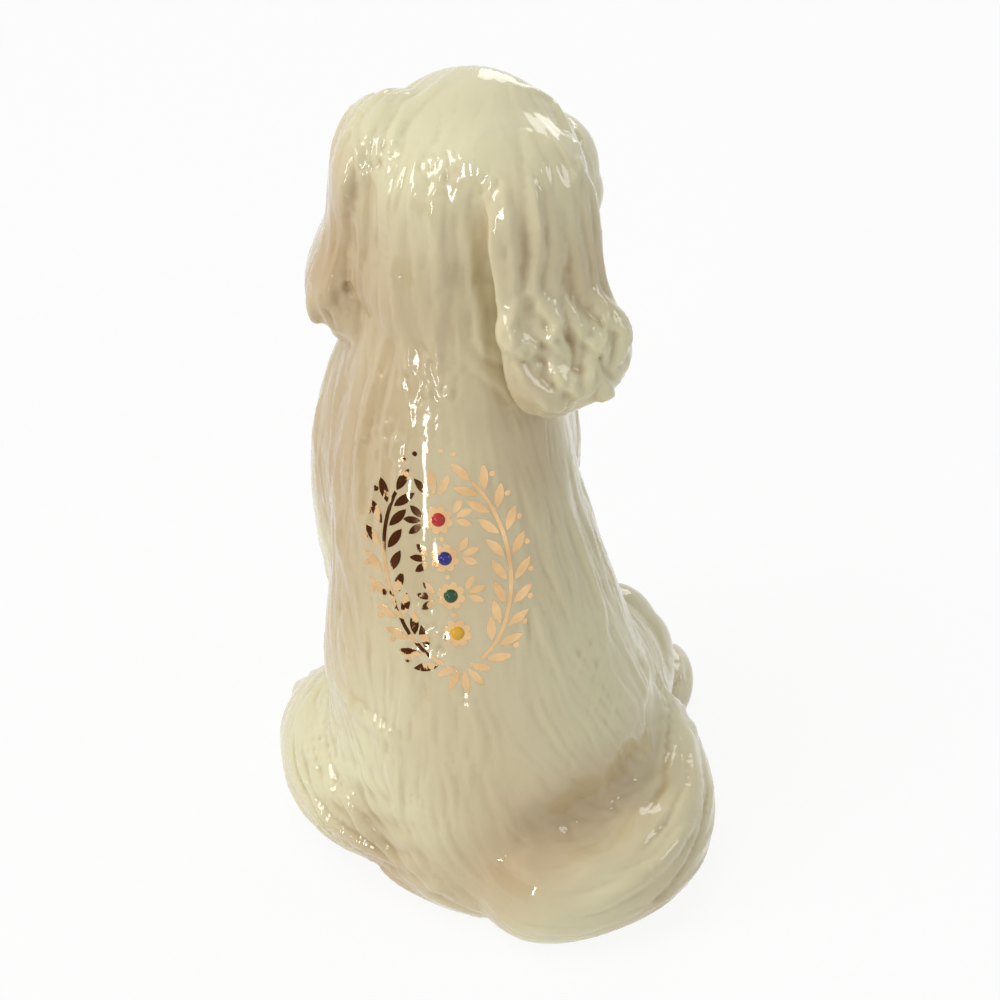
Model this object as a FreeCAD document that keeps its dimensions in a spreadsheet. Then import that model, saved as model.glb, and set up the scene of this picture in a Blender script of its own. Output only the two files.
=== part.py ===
"""A glazed porcelain spaniel that sits with its head turned, gilded on the back with four enamel beads.

The figure is hollow porcelain, luted together from separate castings. Each casting, each motif of the
gilding and each bead is a sub-part of its own. X runs to the dog's left, Y to its back and Z up. The
origin is the middle of the torso's foot, on the surface that the figure stands on.
"""
import FreeCAD, Part
import math
import os
from FreeCAD import Placement, Rotation, Vector

# Lengths in millimetres, angles in degrees
SIZES = {
    "torso_height": 102.0,
    "torso_width": 53.0,
    "torso_depth": 58.0,
    "torso_lean": 5.4,
    "torso_sway": 13.0,
    "wall": 3.0,
    "vent_width": 8.0,
    "vent_setback": 13.0,
    "overrun": 1.0,
    "head_width": 34.0,
    "head_height": 33.5,
    "head_length": 48.0,
    "head_rise": 8.0,
    "head_set_right": 2.6,
    "head_set_forward": 1.0,
    "head_turn_angle": 38.0,
    "muzzle_drop": 8.0,
    "right_ear_length": 41.5,
    "right_ear_width": 19.5,
    "left_ear_length": 34.5,
    "left_ear_width": 20.0,
    "ear_thickness": 8.0,
    "ear_flare_angle": 30.0,
    "eye_width": 4.2,
    "nose_width": 6.5,
    "haunch_length": 45.0,
    "haunch_width": 30.0,
    "haunch_height": 26.0,
    "haunch_splay_angle": 14.0,
    "thigh_length": 36.0,
    "thigh_width": 24.0,
    "thigh_height": 32.0,
    "knee_length": 20.0,
    "knee_width": 17.0,
    "knee_height": 24.0,
    "knee_splay_angle": 10.0,
    "hind_paw_length": 24.0,
    "hind_paw_width": 13.0,
    "hind_paw_height": 11.5,
    "left_hind_paw_splay_angle": 7.0,
    "right_hind_paw_splay_angle": 22.0,
    "foreleg_height": 88.0,
    "foreleg_width": 18.0,
    "foreleg_depth": 24.0,
    "foreleg_set_forward": 4.0,
    "foreleg_reach": 21.0,
    "forepaw_length": 20.0,
    "forepaw_width": 14.5,
    "forepaw_height": 11.0,
    "tail_width": 20.0,
    "tail_height": 20.0,
    "tail_tuck": 1.5,
    "ornament_height": 37.0,
    "ornament_width": 24.4,
    "ornament_yaw_angle": 12.0,
    "ornament_pitch_angle": 21.5,
    "ornament_roll_angle": 9.0,
    "gilt_thickness": 0.2,
    "stem_width": 0.6,
    "laurel_length": 3.9,
    "laurel_width": 1.35,
    "laurel_splay_angle": 35.0,
    "berry_width": 0.85,
    "fan_leaf_width": 1.2,
    "fan_spread_angle": 34.0,
    "sprig_length": 2.7,
    "sprig_width": 1.1,
    "sprig_spread_angle": 40.0,
    "rosette_width": 4.4,
    "dot_width": 0.75,
    "bead_width": 2.1,
    "bead_height": 0.9,
}

# Sections of the torso: height, lean, sway, half width and half depth, as shares of its sizes
TORSO_SHARES = [
    (0.000, 0.00, 0.00, 0.415, 0.448),
    (0.049, 0.03, 0.00, 0.480, 0.500),
    (0.176, 0.12, 0.00, 0.500, 0.500),
    (0.333, 0.50, 0.12, 0.474, 0.450),
    (0.490, 0.76, 0.31, 0.408, 0.397),
    (0.627, 1.00, 0.54, 0.366, 0.360),
    (0.765, 0.96, 0.77, 0.320, 0.312),
    (0.882, 0.76, 0.92, 0.283, 0.268),
    (1.000, 0.57, 1.00, 0.255, 0.242),
]

# Sections of the head: place from the skull's middle towards the nose, drop, half width, half height
HEAD_SHARES = [
    (-0.370, 0.00, 0.09, 0.10),
    (-0.345, 0.00, 0.20, 0.21),
    (-0.270, 0.00, 0.34, 0.35),
    (-0.140, 0.00, 0.46, 0.465),
    (0.000, 0.00, 0.50, 0.50),
    (0.110, 0.02, 0.485, 0.49),
    (0.200, 0.18, 0.425, 0.44),
    (0.290, 0.55, 0.335, 0.355),
    (0.380, 0.85, 0.275, 0.295),
    (0.490, 1.00, 0.255, 0.275),
    (0.570, 0.98, 0.215, 0.24),
    (0.615, 0.92, 0.145, 0.16),
    (0.632, 0.88, 0.07, 0.08),
]

# Sections of an ear from its root down: share of its length, distance out and back as shares of the
# head's width, half width and half thickness
EAR_SHARES = [
    (0.00, 0.33, 0.20, 0.19, 0.16),
    (0.07, 0.41, 0.22, 0.36, 0.28),
    (0.21, 0.47, 0.24, 0.46, 0.34),
    (0.42, 0.50, 0.24, 0.49, 0.35),
    (0.62, 0.54, 0.24, 0.50, 0.38),
    (0.80, 0.60, 0.24, 0.56, 0.48),
    (0.93, 0.61, 0.24, 0.47, 0.46),
    (1.00, 0.58, 0.24, 0.26, 0.28),
]
EAR_ROOT_SHARE = 0.38

# Sections of a foreleg from the floor up: share of its height, distance out to its own side, distance
# forward, half width and half depth
FORELEG_SHARES = [
    (0.00, 0.00, 1.00, 0.39, 0.33),
    (0.11, 0.00, 0.86, 0.31, 0.25),
    (0.43, 0.10, 0.57, 0.41, 0.33),
    (0.68, 0.06, 0.20, 0.50, 0.50),
    (0.84, -0.02, 0.05, 0.47, 0.46),
    (1.00, -0.22, 0.00, 0.28, 0.25),
]

# Sections of the tail: angle round the torso, distance out, lift, half width and half height
TAIL_SHARES = [
    (70, 0.86, 0.44, 0.22, 0.26),
    (80, 0.95, 0.43, 0.38, 0.41),
    (92, 1.00, 0.42, 0.47, 0.475),
    (108, 1.02, 0.42, 0.50, 0.50),
    (126, 1.06, 0.42, 0.50, 0.50),
    (144, 1.06, 0.43, 0.49, 0.50),
    (162, 1.02, 0.46, 0.46, 0.49),
    (178, 0.99, 0.54, 0.41, 0.45),
    (192, 0.95, 0.68, 0.28, 0.33),
    (203, 0.88, 0.82, 0.09, 0.12),
]

# Middles of the limbs' rounded forms: out to the side and forward as shares of the torso's width and
# depth, and up as a share of the form's own height
LEFT_HAUNCH_SHARES = (0.38, 0.06, 0.46)
THIGH_SHARES = (0.32, 0.09, 0.48)
KNEE_SHARES = (0.415, 0.30, 0.77)
LEFT_HIND_PAW_SHARES = (0.48, 0.44, 0.43)
RIGHT_HIND_PAW_SHARES = (0.575, 0.40, 0.43)
LEFT_FORELEG_SHARE, RIGHT_FORELEG_SHARE = 0.31, 0.13
FOREPAW_REACH_SHARE, FOREPAW_LIFT_SHARE = 1.1, 0.42

# Eyes and nose: out, forward and up as shares of the head's width, length and height
EYE_SHARES = (0.27, 0.275, 0.06)
NOSE_SHARES = (0.0, 0.61, -0.13)
NOSE_DEPTH_SHARE, NOSE_HEIGHT_SHARE = 0.6, 0.75

# The ornament's middle, as shares of the torso's width, depth and height, and its layout, as shares of
# half its height and of a leaf's length
ORNAMENT_SHARES = (0.185, 0.245, 0.595)
BEAD_SHARES = {"red": 0.40, "blue": 0.08, "green": -0.24, "yellow": -0.56}
WREATH_HEIGHT_SHARE = 0.84
TOP_FAN_SHARE, FOOT_FAN_SHARE = 0.54, -0.81
DOT_ARC_MIDDLE_SHARE, DOT_ARC_RADIUS_SHARE = 0.55, 0.42
WREATH_INSET_SHARE = 0.7
LEAF_START_SHARE, BERRY_START_SHARE = 0.3, 0.62
BERRY_OUT_SHARE = 0.76
LEAF_WIDEST_SHARE = 0.45
FAN_HEART_SHARE = 0.32
FAN_TAPER_SHARE = 0.07
ROSETTE_INNER_SHARE = 0.36
SPRIG_TUCK_SHARE = 0.12
PRESS_DEPTH_SHARE, PRESS_ABOVE_SHARE = 0.75, 0.33

# Counts and angles of the ornament: the wreath's foot and tip are counted from its top
LAUREL_PAIRS = 9
WREATH_FOOT_ANGLE, WREATH_TIP_ANGLE = 163.0, 38.0
STEM_SPANS = 6
PETALS = 8
TOP_FAN_LEAVES, FOOT_FAN_LEAVES, SPRIG_LEAVES = 3, 5, 3
ARC_DOTS, ARC_DOT_ANGLE = 5, 15.0
SPRIG_RISE_ANGLE = 12.0

doc = FreeCAD.newDocument("spaniel")
sheet = doc.addObject("Spreadsheet::Sheet", "Sizes")
for row, (name, value) in enumerate(SIZES.items(), start=1):
    sheet.set(f"A{row}", name)
    sheet.set(f"B{row}", str(value))
    sheet.setAlias(f"B{row}", name)
doc.recompute()
sub_parts = []


def size(name):
    """A size as the sheet holds it."""
    return float(sheet.get(name))


def add(kind, name, **expressions):
    """A document object whose properties follow the sheet."""
    made = doc.addObject(kind, name)
    for prop, expression in expressions.items():
        made.setExpression(prop, expression)
    return made


def place(x="0", y="0", z="0", turn="0", pitch="0"):
    """The expression of a placement: a point, then turns about Z and Y."""
    return f"placement(vector({x}; {y}; {z}); rotation({turn}; {pitch}; 0))"


def ring(name, half_x, half_y, placement):
    """An ellipse, from its half sizes along its own X and Y, whichever is the longer."""
    quarter = place(turn=f"{half_x} >= {half_y} ? 0 : 90")
    return add("Part::Ellipse", name, MajorRadius=f"max({half_x}; {half_y})",
               MinorRadius=f"min({half_x}; {half_y})", Placement=f"{placement} * {quarter}")


def loft(name, rings):
    """A solid skin through rings."""
    skin = add("Part::Loft", name)
    skin.Sections = rings
    skin.Solid = True
    return skin


def ellipsoid(name, length, width, height, **placement):
    """An ellipsoid from its full sizes along Y, X and Z."""
    return add("Part::Ellipsoid", name, Radius1=f"({height}) / 2", Radius2=f"({width}) / 2",
               Radius3=f"({length}) / 2", **placement)


def fuse(name, shapes):
    """One solid from several."""
    joined = add("Part::MultiFuse", name)
    joined.Shapes = shapes
    return joined


def cut(name, base, tools):
    """The base less every tool."""
    for number, tool in enumerate(tools, start=1):
        less = add("Part::Cut", name if tool is tools[-1] else f"{name}_cut_{number}")
        less.Base = base
        less.Tool = tool
        base = less
    return base


def common(name, base, tool):
    """What two shapes share."""
    shared = add("Part::Common", name)
    shared.Base = base
    shared.Tool = tool
    return shared


def keep(made, label):
    """Names a sub-part, to be written out under its label."""
    made.Label = label
    sub_parts.append(made)
    return made


# Torso

def torso_middle(lean_share, sway_share):
    """Where a section stands: leaning to the dog's left, swaying to its front."""
    return f"Sizes.torso_lean * {lean_share}", f"-Sizes.torso_sway * {sway_share}"


def torso_skin(name, grown):
    """The torso's outer form, each section grown by an amount."""
    rings = []
    for number, (up, lean, sway, half_width, half_depth) in enumerate(TORSO_SHARES):
        x, y = torso_middle(lean, sway)
        rings.append(ring(f"{name}_ring_{number}", f"Sizes.torso_width * {half_width} + {grown}",
                          f"Sizes.torso_depth * {half_depth} + {grown}",
                          place(x, y, f"Sizes.torso_height * {up}")))
    return loft(name, rings)


def torso_hollow():
    """The space inside: a floor one wall thick, open at the neck."""
    lifts = {0: "Sizes.wall", 1: "Sizes.wall / 2", len(TORSO_SHARES) - 1: "Sizes.overrun"}
    rings = []
    for number, (up, lean, sway, half_width, half_depth) in enumerate(TORSO_SHARES):
        x, y = torso_middle(lean, sway)
        height = f"Sizes.torso_height * {up} + {lifts.get(number, '0')}"
        rings.append(ring(f"hollow_ring_{number}", f"Sizes.torso_width * {half_width} - Sizes.wall",
                          f"Sizes.torso_depth * {half_depth} - Sizes.wall", place(x, y, height)))
    return loft("hollow", rings)


table = add("Part::Box", "table", Length="Sizes.torso_height * 2", Width="Sizes.torso_height * 2",
            Height="Sizes.torso_height",
            Placement=place("-Sizes.torso_height", "-Sizes.torso_height", "-Sizes.torso_height"))
torso_form = torso_skin("torso_form", "0")
vent = add("Part::Cylinder", "vent", Radius="Sizes.vent_width / 2",
           Height="Sizes.wall + Sizes.overrun * 2",
           Placement=place("0", "Sizes.vent_setback", "-Sizes.overrun"))
keep(cut("torso_casting", torso_form, [torso_hollow(), vent]), "torso")

# Head

NECK_X, NECK_Y = torso_middle(*TORSO_SHARES[-1][1:3])
SKULL = place(f"{NECK_X} - Sizes.head_set_right", f"{NECK_Y} - Sizes.head_set_forward",
              "Sizes.torso_height + Sizes.head_rise", turn="-Sizes.head_turn_angle")


def in_head(*point, **turns):
    """A placement in the head's own frame: nose towards -Y, the skull's middle at zero."""
    return f"{SKULL} * {place(*point, **turns)}"


def head_skin():
    """The skull, brow and muzzle, as one form."""
    rings = []
    for number, (forward, drop, half_width, half_height) in enumerate(HEAD_SHARES):
        rings.append(ring(f"head_ring_{number}", f"Sizes.head_height * {half_height}",
                          f"Sizes.head_width * {half_width}",
                          in_head("0", f"-Sizes.head_length * {forward}",
                                  f"-Sizes.muzzle_drop * {drop}", turn="90", pitch="-90")))
    return loft("head_form", rings)


def head_hollow():
    """The space inside the skull, which meets the torso's at the neck."""
    skull_share = -2 * HEAD_SHARES[0][0]
    return ellipsoid("head_hollow", f"Sizes.head_length * {skull_share} - Sizes.wall * 2",
                     "Sizes.head_width - Sizes.wall * 2", "Sizes.head_height - Sizes.wall * 2",
                     Placement=in_head())


head_form = head_skin()
head_casting = keep(cut("head_casting", head_form, [torso_form, head_hollow()]), "head")

# Haunches

def limb(name, piece, way, shares, turn):
    """A rounded form beside the torso, on the dog's left where way is 1, on its right where it is -1."""
    out, forward, up = shares
    return ellipsoid(name, f"Sizes.{piece}_length", f"Sizes.{piece}_width", f"Sizes.{piece}_height",
                     Placement=place(f"Sizes.torso_width * {out} * {way}",
                                     f"-Sizes.torso_depth * {forward}",
                                     f"Sizes.{piece}_height * {up}", turn=turn))


left_haunch_form = limb("left_haunch_form", "haunch", 1, LEFT_HAUNCH_SHARES, "Sizes.haunch_splay_angle")
right_haunch_form = fuse("right_haunch_form", [
    limb("thigh", "thigh", -1, THIGH_SHARES, "-Sizes.knee_splay_angle"),
    limb("knee", "knee", -1, KNEE_SHARES, "-Sizes.knee_splay_angle"),
])
keep(cut("left_haunch_casting", left_haunch_form, [table, torso_form]), "left_haunch")
keep(cut("right_haunch_casting", right_haunch_form, [table, torso_form]), "right_haunch")

# Forelegs

def foreleg(name, way, middle_share):
    """A foreleg with its paw."""
    middle = f"Sizes.torso_width * {middle_share} * {way}"
    behind = f"{NECK_Y} - Sizes.foreleg_set_forward"
    rings = []
    for number, (up, out, forward, half_width, half_depth) in enumerate(FORELEG_SHARES):
        rings.append(ring(f"{name}_ring_{number}", f"Sizes.foreleg_width * {half_width}",
                          f"Sizes.foreleg_depth * {half_depth}",
                          place(f"{middle} + Sizes.foreleg_width * {out} * {way}",
                                f"{behind} - Sizes.foreleg_reach * {forward}",
                                f"Sizes.foreleg_height * {up}")))
    paw = ellipsoid(f"{name}_paw", "Sizes.forepaw_length", "Sizes.forepaw_width",
                    "Sizes.forepaw_height",
                    Placement=place(middle, f"{behind} - Sizes.foreleg_reach * {FOREPAW_REACH_SHARE}",
                                    f"Sizes.forepaw_height * {FOREPAW_LIFT_SHARE}"))
    return fuse(f"{name}_form", [loft(f"{name}_leg", rings), paw])


left_foreleg_form = foreleg("left_foreleg", 1, LEFT_FORELEG_SHARE)
right_foreleg_form = foreleg("right_foreleg", -1, RIGHT_FORELEG_SHARE)
keep(cut("left_foreleg_casting", left_foreleg_form,
         [table, torso_form, head_form, left_haunch_form]), "left_foreleg")
keep(cut("right_foreleg_casting", right_foreleg_form,
         [table, torso_form, head_form, right_haunch_form]), "right_foreleg")

# Ears

def ear(name, way):
    """A hanging ear, its front edge flared away from the cheek."""
    length, width = f"Sizes.{name}_length", f"Sizes.{name}_width"
    rings = []
    for number, (down, out, back, half_width, half_thick) in enumerate(EAR_SHARES):
        rings.append(ring(f"{name}_ring_{number}", f"{width} * {half_width}",
                          f"Sizes.ear_thickness * {half_thick}",
                          in_head(f"Sizes.head_width * {out} * {way}", f"Sizes.head_width * {back}",
                                  f"Sizes.head_height * {EAR_ROOT_SHARE} - {length} * {down}",
                                  turn=f"90 + Sizes.ear_flare_angle * {way}")))
    return loft(f"{name}_form", rings)


keep(cut("right_ear_casting", ear("right_ear", -1), [head_form, torso_form]), "right_ear")
keep(cut("left_ear_casting", ear("left_ear", 1), [head_form, torso_form, left_foreleg_form]),
     "left_ear")

# Tail

def tail_skin():
    """The tail, which lies round the torso's right side from the back."""
    across = "(Sizes.torso_width / 2 - Sizes.tail_tuck)"
    behind = "(Sizes.torso_depth / 2 - Sizes.tail_tuck)"
    rings = []
    for number, (angle, out, lift, half_width, half_height) in enumerate(TAIL_SHARES):
        heading = f"atan2({behind} * cos({angle}); -{across} * sin({angle}))"
        rings.append(ring(f"tail_ring_{number}", f"Sizes.tail_height * {half_height}",
                          f"Sizes.tail_width * {half_width}",
                          place(f"{across} * cos({angle}) * {out}", f"{behind} * sin({angle}) * {out}",
                                f"Sizes.tail_height * {lift}", turn=heading, pitch="-90")))
    return loft("tail_form", rings)


tail_form = tail_skin()
keep(cut("tail_casting", tail_form, [table, torso_form, right_haunch_form]), "tail")

# Hind paws

left_hind_paw_form = limb("left_hind_paw_form", "hind_paw", 1, LEFT_HIND_PAW_SHARES,
                          "Sizes.left_hind_paw_splay_angle")
right_hind_paw_form = limb("right_hind_paw_form", "hind_paw", -1, RIGHT_HIND_PAW_SHARES,
                           "-Sizes.right_hind_paw_splay_angle")
keep(cut("left_hind_paw_casting", left_hind_paw_form,
         [table, torso_form, left_haunch_form, left_foreleg_form]), "left_hind_paw")
keep(cut("right_hind_paw_casting", right_hind_paw_form,
         [table, torso_form, right_haunch_form, tail_form, right_foreleg_form]), "right_hind_paw")

# Eyes and nose

def on_face(shares, way):
    """A placement on the face."""
    out, forward, up = shares
    return in_head(f"Sizes.head_width * {out} * {way}", f"-Sizes.head_length * {forward}",
                   f"Sizes.head_height * {up}")


def eye(name, way):
    """A dark eye, standing out of the brow."""
    form = ellipsoid(f"{name}_form", "Sizes.eye_width", "Sizes.eye_width", "Sizes.eye_width",
                     Placement=on_face(EYE_SHARES, way))
    return keep(cut(f"{name}_enamel", form, [head_form, head_casting]), name)


eye("eye_left", 1)
eye("eye_right", -1)
nose_form = ellipsoid("nose_form", f"Sizes.nose_width * {NOSE_DEPTH_SHARE}", "Sizes.nose_width",
                      f"Sizes.nose_width * {NOSE_HEIGHT_SHARE}", Placement=on_face(NOSE_SHARES, 1))
keep(cut("nose_enamel", nose_form, [head_form, head_casting]), "nose")

# Gilding: motifs drawn on a plane behind the back, pressed onto the torso as a thin film

film_form = torso_skin("film_form", "Sizes.gilt_thickness")
film_skin = cut("film_skin", film_form, [torso_form])
doc.recompute()

HALF_HEIGHT = size("ornament_height") / 2
HALF_WIDTH = size("ornament_width") / 2
PRESS_DEPTH = size("ornament_width") * PRESS_DEPTH_SHARE


def ornament_frame():
    """The plane that the ornament is drawn on: its middle on the back, its Z out of the back."""
    turned = Rotation(Vector(0, 0, 1), 180 - size("ornament_yaw_angle"))
    turned = turned * Rotation(Vector(1, 0, 0), 90 - size("ornament_pitch_angle"))
    turned = turned * Rotation(Vector(0, 0, 1), size("ornament_roll_angle"))
    out, back, up = ORNAMENT_SHARES
    middle = Vector(size("torso_width") * out, size("torso_depth") * back, size("torso_height") * up)
    return Placement(middle, turned)


FRAME = ornament_frame()


def step(length, angle):
    """A step on the plane, at an angle from its X."""
    return Vector(length * math.cos(math.radians(angle)), length * math.sin(math.radians(angle)), 0)


def leaf(base, angle, length, width):
    """A pointed leaf: an arc up one side and an arc down the other."""
    tip = base + step(length, angle)
    middle = base + step(length * LEAF_WIDEST_SHARE, angle)
    left = middle + step(width / 2, angle + 90)
    right = middle - step(width / 2, angle + 90)
    edges = [Part.Arc(base, left, tip).toShape(), Part.Arc(tip, right, base).toShape()]
    return Part.Face(Part.Wire(edges))


def disc(centre, width):
    """A round spot."""
    return Part.Face(Part.Wire(Part.makeCircle(width / 2, centre)))


def rosette(centre):
    """A flower whose petals are arcs between points of an inner circle."""
    width = size("rosette_width")
    inner = [centre + step(width * ROSETTE_INNER_SHARE, 360 * k / PETALS) for k in range(PETALS)]
    outer = [centre + step(width / 2, 360 * (k + 0.5) / PETALS) for k in range(PETALS)]
    edges = [Part.Arc(inner[k - 1], outer[k - 1], inner[k]).toShape() for k in range(PETALS)]
    return Part.Face(Part.Wire(edges))


def wreath_point(angle, way, grown=0):
    """A point of the wreath's oval, its angle counted from the top."""
    across = HALF_WIDTH - size("laurel_length") * WREATH_INSET_SHARE + grown
    along = HALF_HEIGHT * WREATH_HEIGHT_SHARE + grown
    return Vector(way * across * math.sin(math.radians(angle)),
                  along * math.cos(math.radians(angle)), 0)


def wreath_heading(angle, way):
    """The way that the stem runs at a point of the oval, from the foot up."""
    run = wreath_point(angle - 1, way) - wreath_point(angle + 1, way)
    return math.degrees(math.atan2(run.y, run.x))


def wreath_angle(place_along):
    """The oval's angle at a place along a branch, counted in pairs of leaves from the foot."""
    return WREATH_FOOT_ANGLE + (WREATH_TIP_ANGLE - WREATH_FOOT_ANGLE) * place_along / LAUREL_PAIRS


def stem(way):
    """The band that carries the leaves of one branch."""
    half = size("stem_width") / 2
    sides = []
    for grown in (half, -half):
        curve = Part.BSplineCurve()
        curve.interpolate([wreath_point(wreath_angle(LAUREL_PAIRS * k / STEM_SPANS), way, grown)
                           for k in range(STEM_SPANS + 1)])
        sides.append(curve)
    outer, inner = sides
    edges = [outer.toShape(), Part.makeLine(outer.EndPoint, inner.EndPoint), inner.toShape(),
             Part.makeLine(inner.StartPoint, outer.StartPoint)]
    return Part.Face(Part.Wire(edges))


def branch(way):
    """A laurel branch: its stem, leaves to both sides and one at the tip."""
    length, width = size("laurel_length"), size("laurel_width")
    faces = [stem(way)]
    for number in range(LAUREL_PAIRS):
        angle = wreath_angle(number + LEAF_START_SHARE)
        heading = wreath_heading(angle, way)
        for side in (-way, way) if number else (-way,):
            base = wreath_point(angle, way) + step(size("stem_width"), heading + 90 * side)
            faces.append(leaf(base, heading + size("laurel_splay_angle") * side, length, width))
    heading = wreath_heading(WREATH_TIP_ANGLE, way)
    tip = wreath_point(WREATH_TIP_ANGLE, way) + step(size("stem_width") / 2, heading)
    faces.append(leaf(tip, heading, length, width))
    return faces


def berries(way):
    """Spots between the outer leaves of one branch."""
    faces = []
    for number in range(1, LAUREL_PAIRS):
        angle = wreath_angle(number + BERRY_START_SHARE)
        out = step(size("laurel_length") * BERRY_OUT_SHARE, wreath_heading(angle, way) - 90 * way)
        faces.append(disc(wreath_point(angle, way) + out, size("berry_width")))
    return faces


def fan(centre, angle, count, spread, length, width):
    """Leaves that spread from a centre."""
    faces = []
    for number in range(count):
        off = number - (count - 1) / 2
        heading = angle + spread * off
        faces.append(leaf(centre + step(length * FAN_HEART_SHARE, heading), heading,
                          length * (1 - FAN_TAPER_SHARE * abs(off)), width))
    return faces


def laurel_fan(height_share, angle, count):
    """A fan of laurel leaves on the ornament's middle line."""
    return fan(Vector(0, HALF_HEIGHT * height_share, 0), angle, count, size("fan_spread_angle"),
               size("laurel_length"), size("fan_leaf_width"))


def bead_point(colour):
    """Where a bead stands on the ornament's plane."""
    return Vector(0, HALF_HEIGHT * BEAD_SHARES[colour], 0)


def sprigs(way):
    """A few leaves beside each rosette but the lowest."""
    faces = []
    out = Vector(way * (size("rosette_width") / 2 - size("sprig_length") * SPRIG_TUCK_SHARE), 0, 0)
    for colour in list(BEAD_SHARES)[:-1]:
        faces += fan(bead_point(colour) + out, 90 - way * (90 - SPRIG_RISE_ANGLE), SPRIG_LEAVES,
                     size("sprig_spread_angle"), size("sprig_length"), size("sprig_width"))
    return faces


def dots():
    """Spots between the rosettes, and in an arc over the upper fan."""
    colours = list(BEAD_SHARES)
    centres = [(bead_point(upper) + bead_point(lower)) / 2
               for upper, lower in zip(colours, colours[1:])]
    for number in range(ARC_DOTS):
        arc = step(HALF_HEIGHT * DOT_ARC_RADIUS_SHARE, 90 + ARC_DOT_ANGLE * (number - ARC_DOTS // 2))
        centres.append(Vector(0, HALF_HEIGHT * DOT_ARC_MIDDLE_SHARE, 0) + arc)
    return [disc(centre, size("dot_width")) for centre in centres]


def gild(label, faces):
    """Presses flat motifs onto the torso as a film."""
    drawn = doc.addObject("Part::Feature", f"{label}_drawn")
    drawn.Shape = Part.Compound([face.extrude(Vector(0, 0, -PRESS_DEPTH)) for face in faces])
    drawn.Placement = FRAME * Placement(Vector(0, 0, PRESS_DEPTH * PRESS_ABOVE_SHARE), Rotation())
    return keep(common(f"{label}_film", drawn, film_skin), label)


for side, way in (("left", -1), ("right", 1)):
    gild(f"gilt_branch_{side}", branch(way))
    gild(f"gilt_berries_{side}", berries(way))
    gild(f"gilt_sprigs_{side}", sprigs(way))
gild("gilt_fan_top", laurel_fan(TOP_FAN_SHARE, 90, TOP_FAN_LEAVES))
gild("gilt_fan_foot", laurel_fan(FOOT_FAN_SHARE, -90, FOOT_FAN_LEAVES))
gild("gilt_dots", dots())
for colour in BEAD_SHARES:
    gild(f"gilt_rosette_{colour}", [rosette(bead_point(colour))])

# Beads of raised enamel, each a dome on its rosette

def on_back(point):
    """Where a point of the ornament's plane meets the gilding, looking straight into the back."""
    ends = [FRAME.multVec(point + Vector(0, 0, reach)) for reach in (HALF_WIDTH, -HALF_WIDTH)]
    inside = Part.makeLine(*ends).common(film_form.Shape)
    return min((vertex.Point for vertex in inside.Vertexes), key=ends[0].distanceToPoint)


def bead(colour):
    """A dome of enamel, round from behind and standing proud of its rosette."""
    form = ellipsoid(f"bead_{colour}_form", "Sizes.bead_width", "Sizes.bead_width",
                     "Sizes.bead_height * 2")
    form.Placement = Placement(on_back(bead_point(colour)), FRAME.Rotation)
    return keep(cut(f"bead_{colour}_enamel", form, [film_form]), f"bead_{colour}")


for colour in BEAD_SHARES:
    bead(colour)
doc.recompute()

# Checks, then one file for each sub-part

for made in doc.Objects:
    if "Invalid" in made.State or "Error" in made.State:
        raise RuntimeError(f"{made.Name} failed: {made.State}")
os.makedirs("parts", exist_ok=True)
for made in sub_parts:
    if made.Shape.isNull() or not made.Shape.isValid() or not made.Shape.Solids:
        raise RuntimeError(f"{made.Label} has no valid solid")
    made.Shape.exportStep(f"parts/{made.Label}.step")
    print(made.Label, len(made.Shape.Solids), "solids", round(made.Shape.Volume, 2), "mm3")
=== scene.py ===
"""A glazed porcelain spaniel, seen from behind: its castings, its gilding and its enamel beads.

The castings are sculpted as one clay form over the frame, so that the hair runs on from one to the
next, and are then parted again along the frame's own joints. Lengths below are in millimetres, in the
frame's own axes: X to the dog's left, Y to its back, Z up.
"""
import math
import bmesh
import bpy
import numpy as np
from mathutils import Matrix, Vector, kdtree
from mathutils.bvhtree import BVHTree


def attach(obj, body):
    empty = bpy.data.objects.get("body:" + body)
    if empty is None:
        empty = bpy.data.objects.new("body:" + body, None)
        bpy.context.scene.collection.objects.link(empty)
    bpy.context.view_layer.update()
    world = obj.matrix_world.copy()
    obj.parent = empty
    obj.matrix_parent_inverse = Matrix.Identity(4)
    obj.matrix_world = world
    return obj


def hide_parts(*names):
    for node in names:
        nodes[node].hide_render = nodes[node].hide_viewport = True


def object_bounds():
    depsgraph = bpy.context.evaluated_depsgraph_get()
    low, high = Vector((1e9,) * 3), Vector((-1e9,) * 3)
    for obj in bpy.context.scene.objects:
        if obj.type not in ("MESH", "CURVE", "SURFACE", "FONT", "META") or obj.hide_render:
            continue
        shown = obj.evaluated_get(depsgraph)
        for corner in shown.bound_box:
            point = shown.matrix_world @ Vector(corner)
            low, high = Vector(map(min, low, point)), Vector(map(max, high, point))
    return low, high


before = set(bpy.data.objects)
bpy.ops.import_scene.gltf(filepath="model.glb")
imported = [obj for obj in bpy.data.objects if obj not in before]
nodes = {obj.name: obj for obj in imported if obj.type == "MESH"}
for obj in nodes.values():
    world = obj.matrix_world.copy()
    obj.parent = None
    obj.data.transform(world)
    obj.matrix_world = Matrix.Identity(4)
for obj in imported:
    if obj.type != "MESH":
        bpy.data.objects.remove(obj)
cad_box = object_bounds()

MM = 0.001
CASTINGS = ("torso", "head", "left_ear", "right_ear", "left_haunch", "right_haunch", "left_foreleg",
            "right_foreleg", "left_hind_paw", "right_hind_paw", "tail")
CLAY_GRAIN = 0.45
random_draws = np.random.default_rng(1869)

# The skull's middle, and how far the head is turned about it to the dog's right, in degrees
SKULL = np.array([0.478, -14.0, 110.0])
HEAD_TURN = -38

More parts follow.
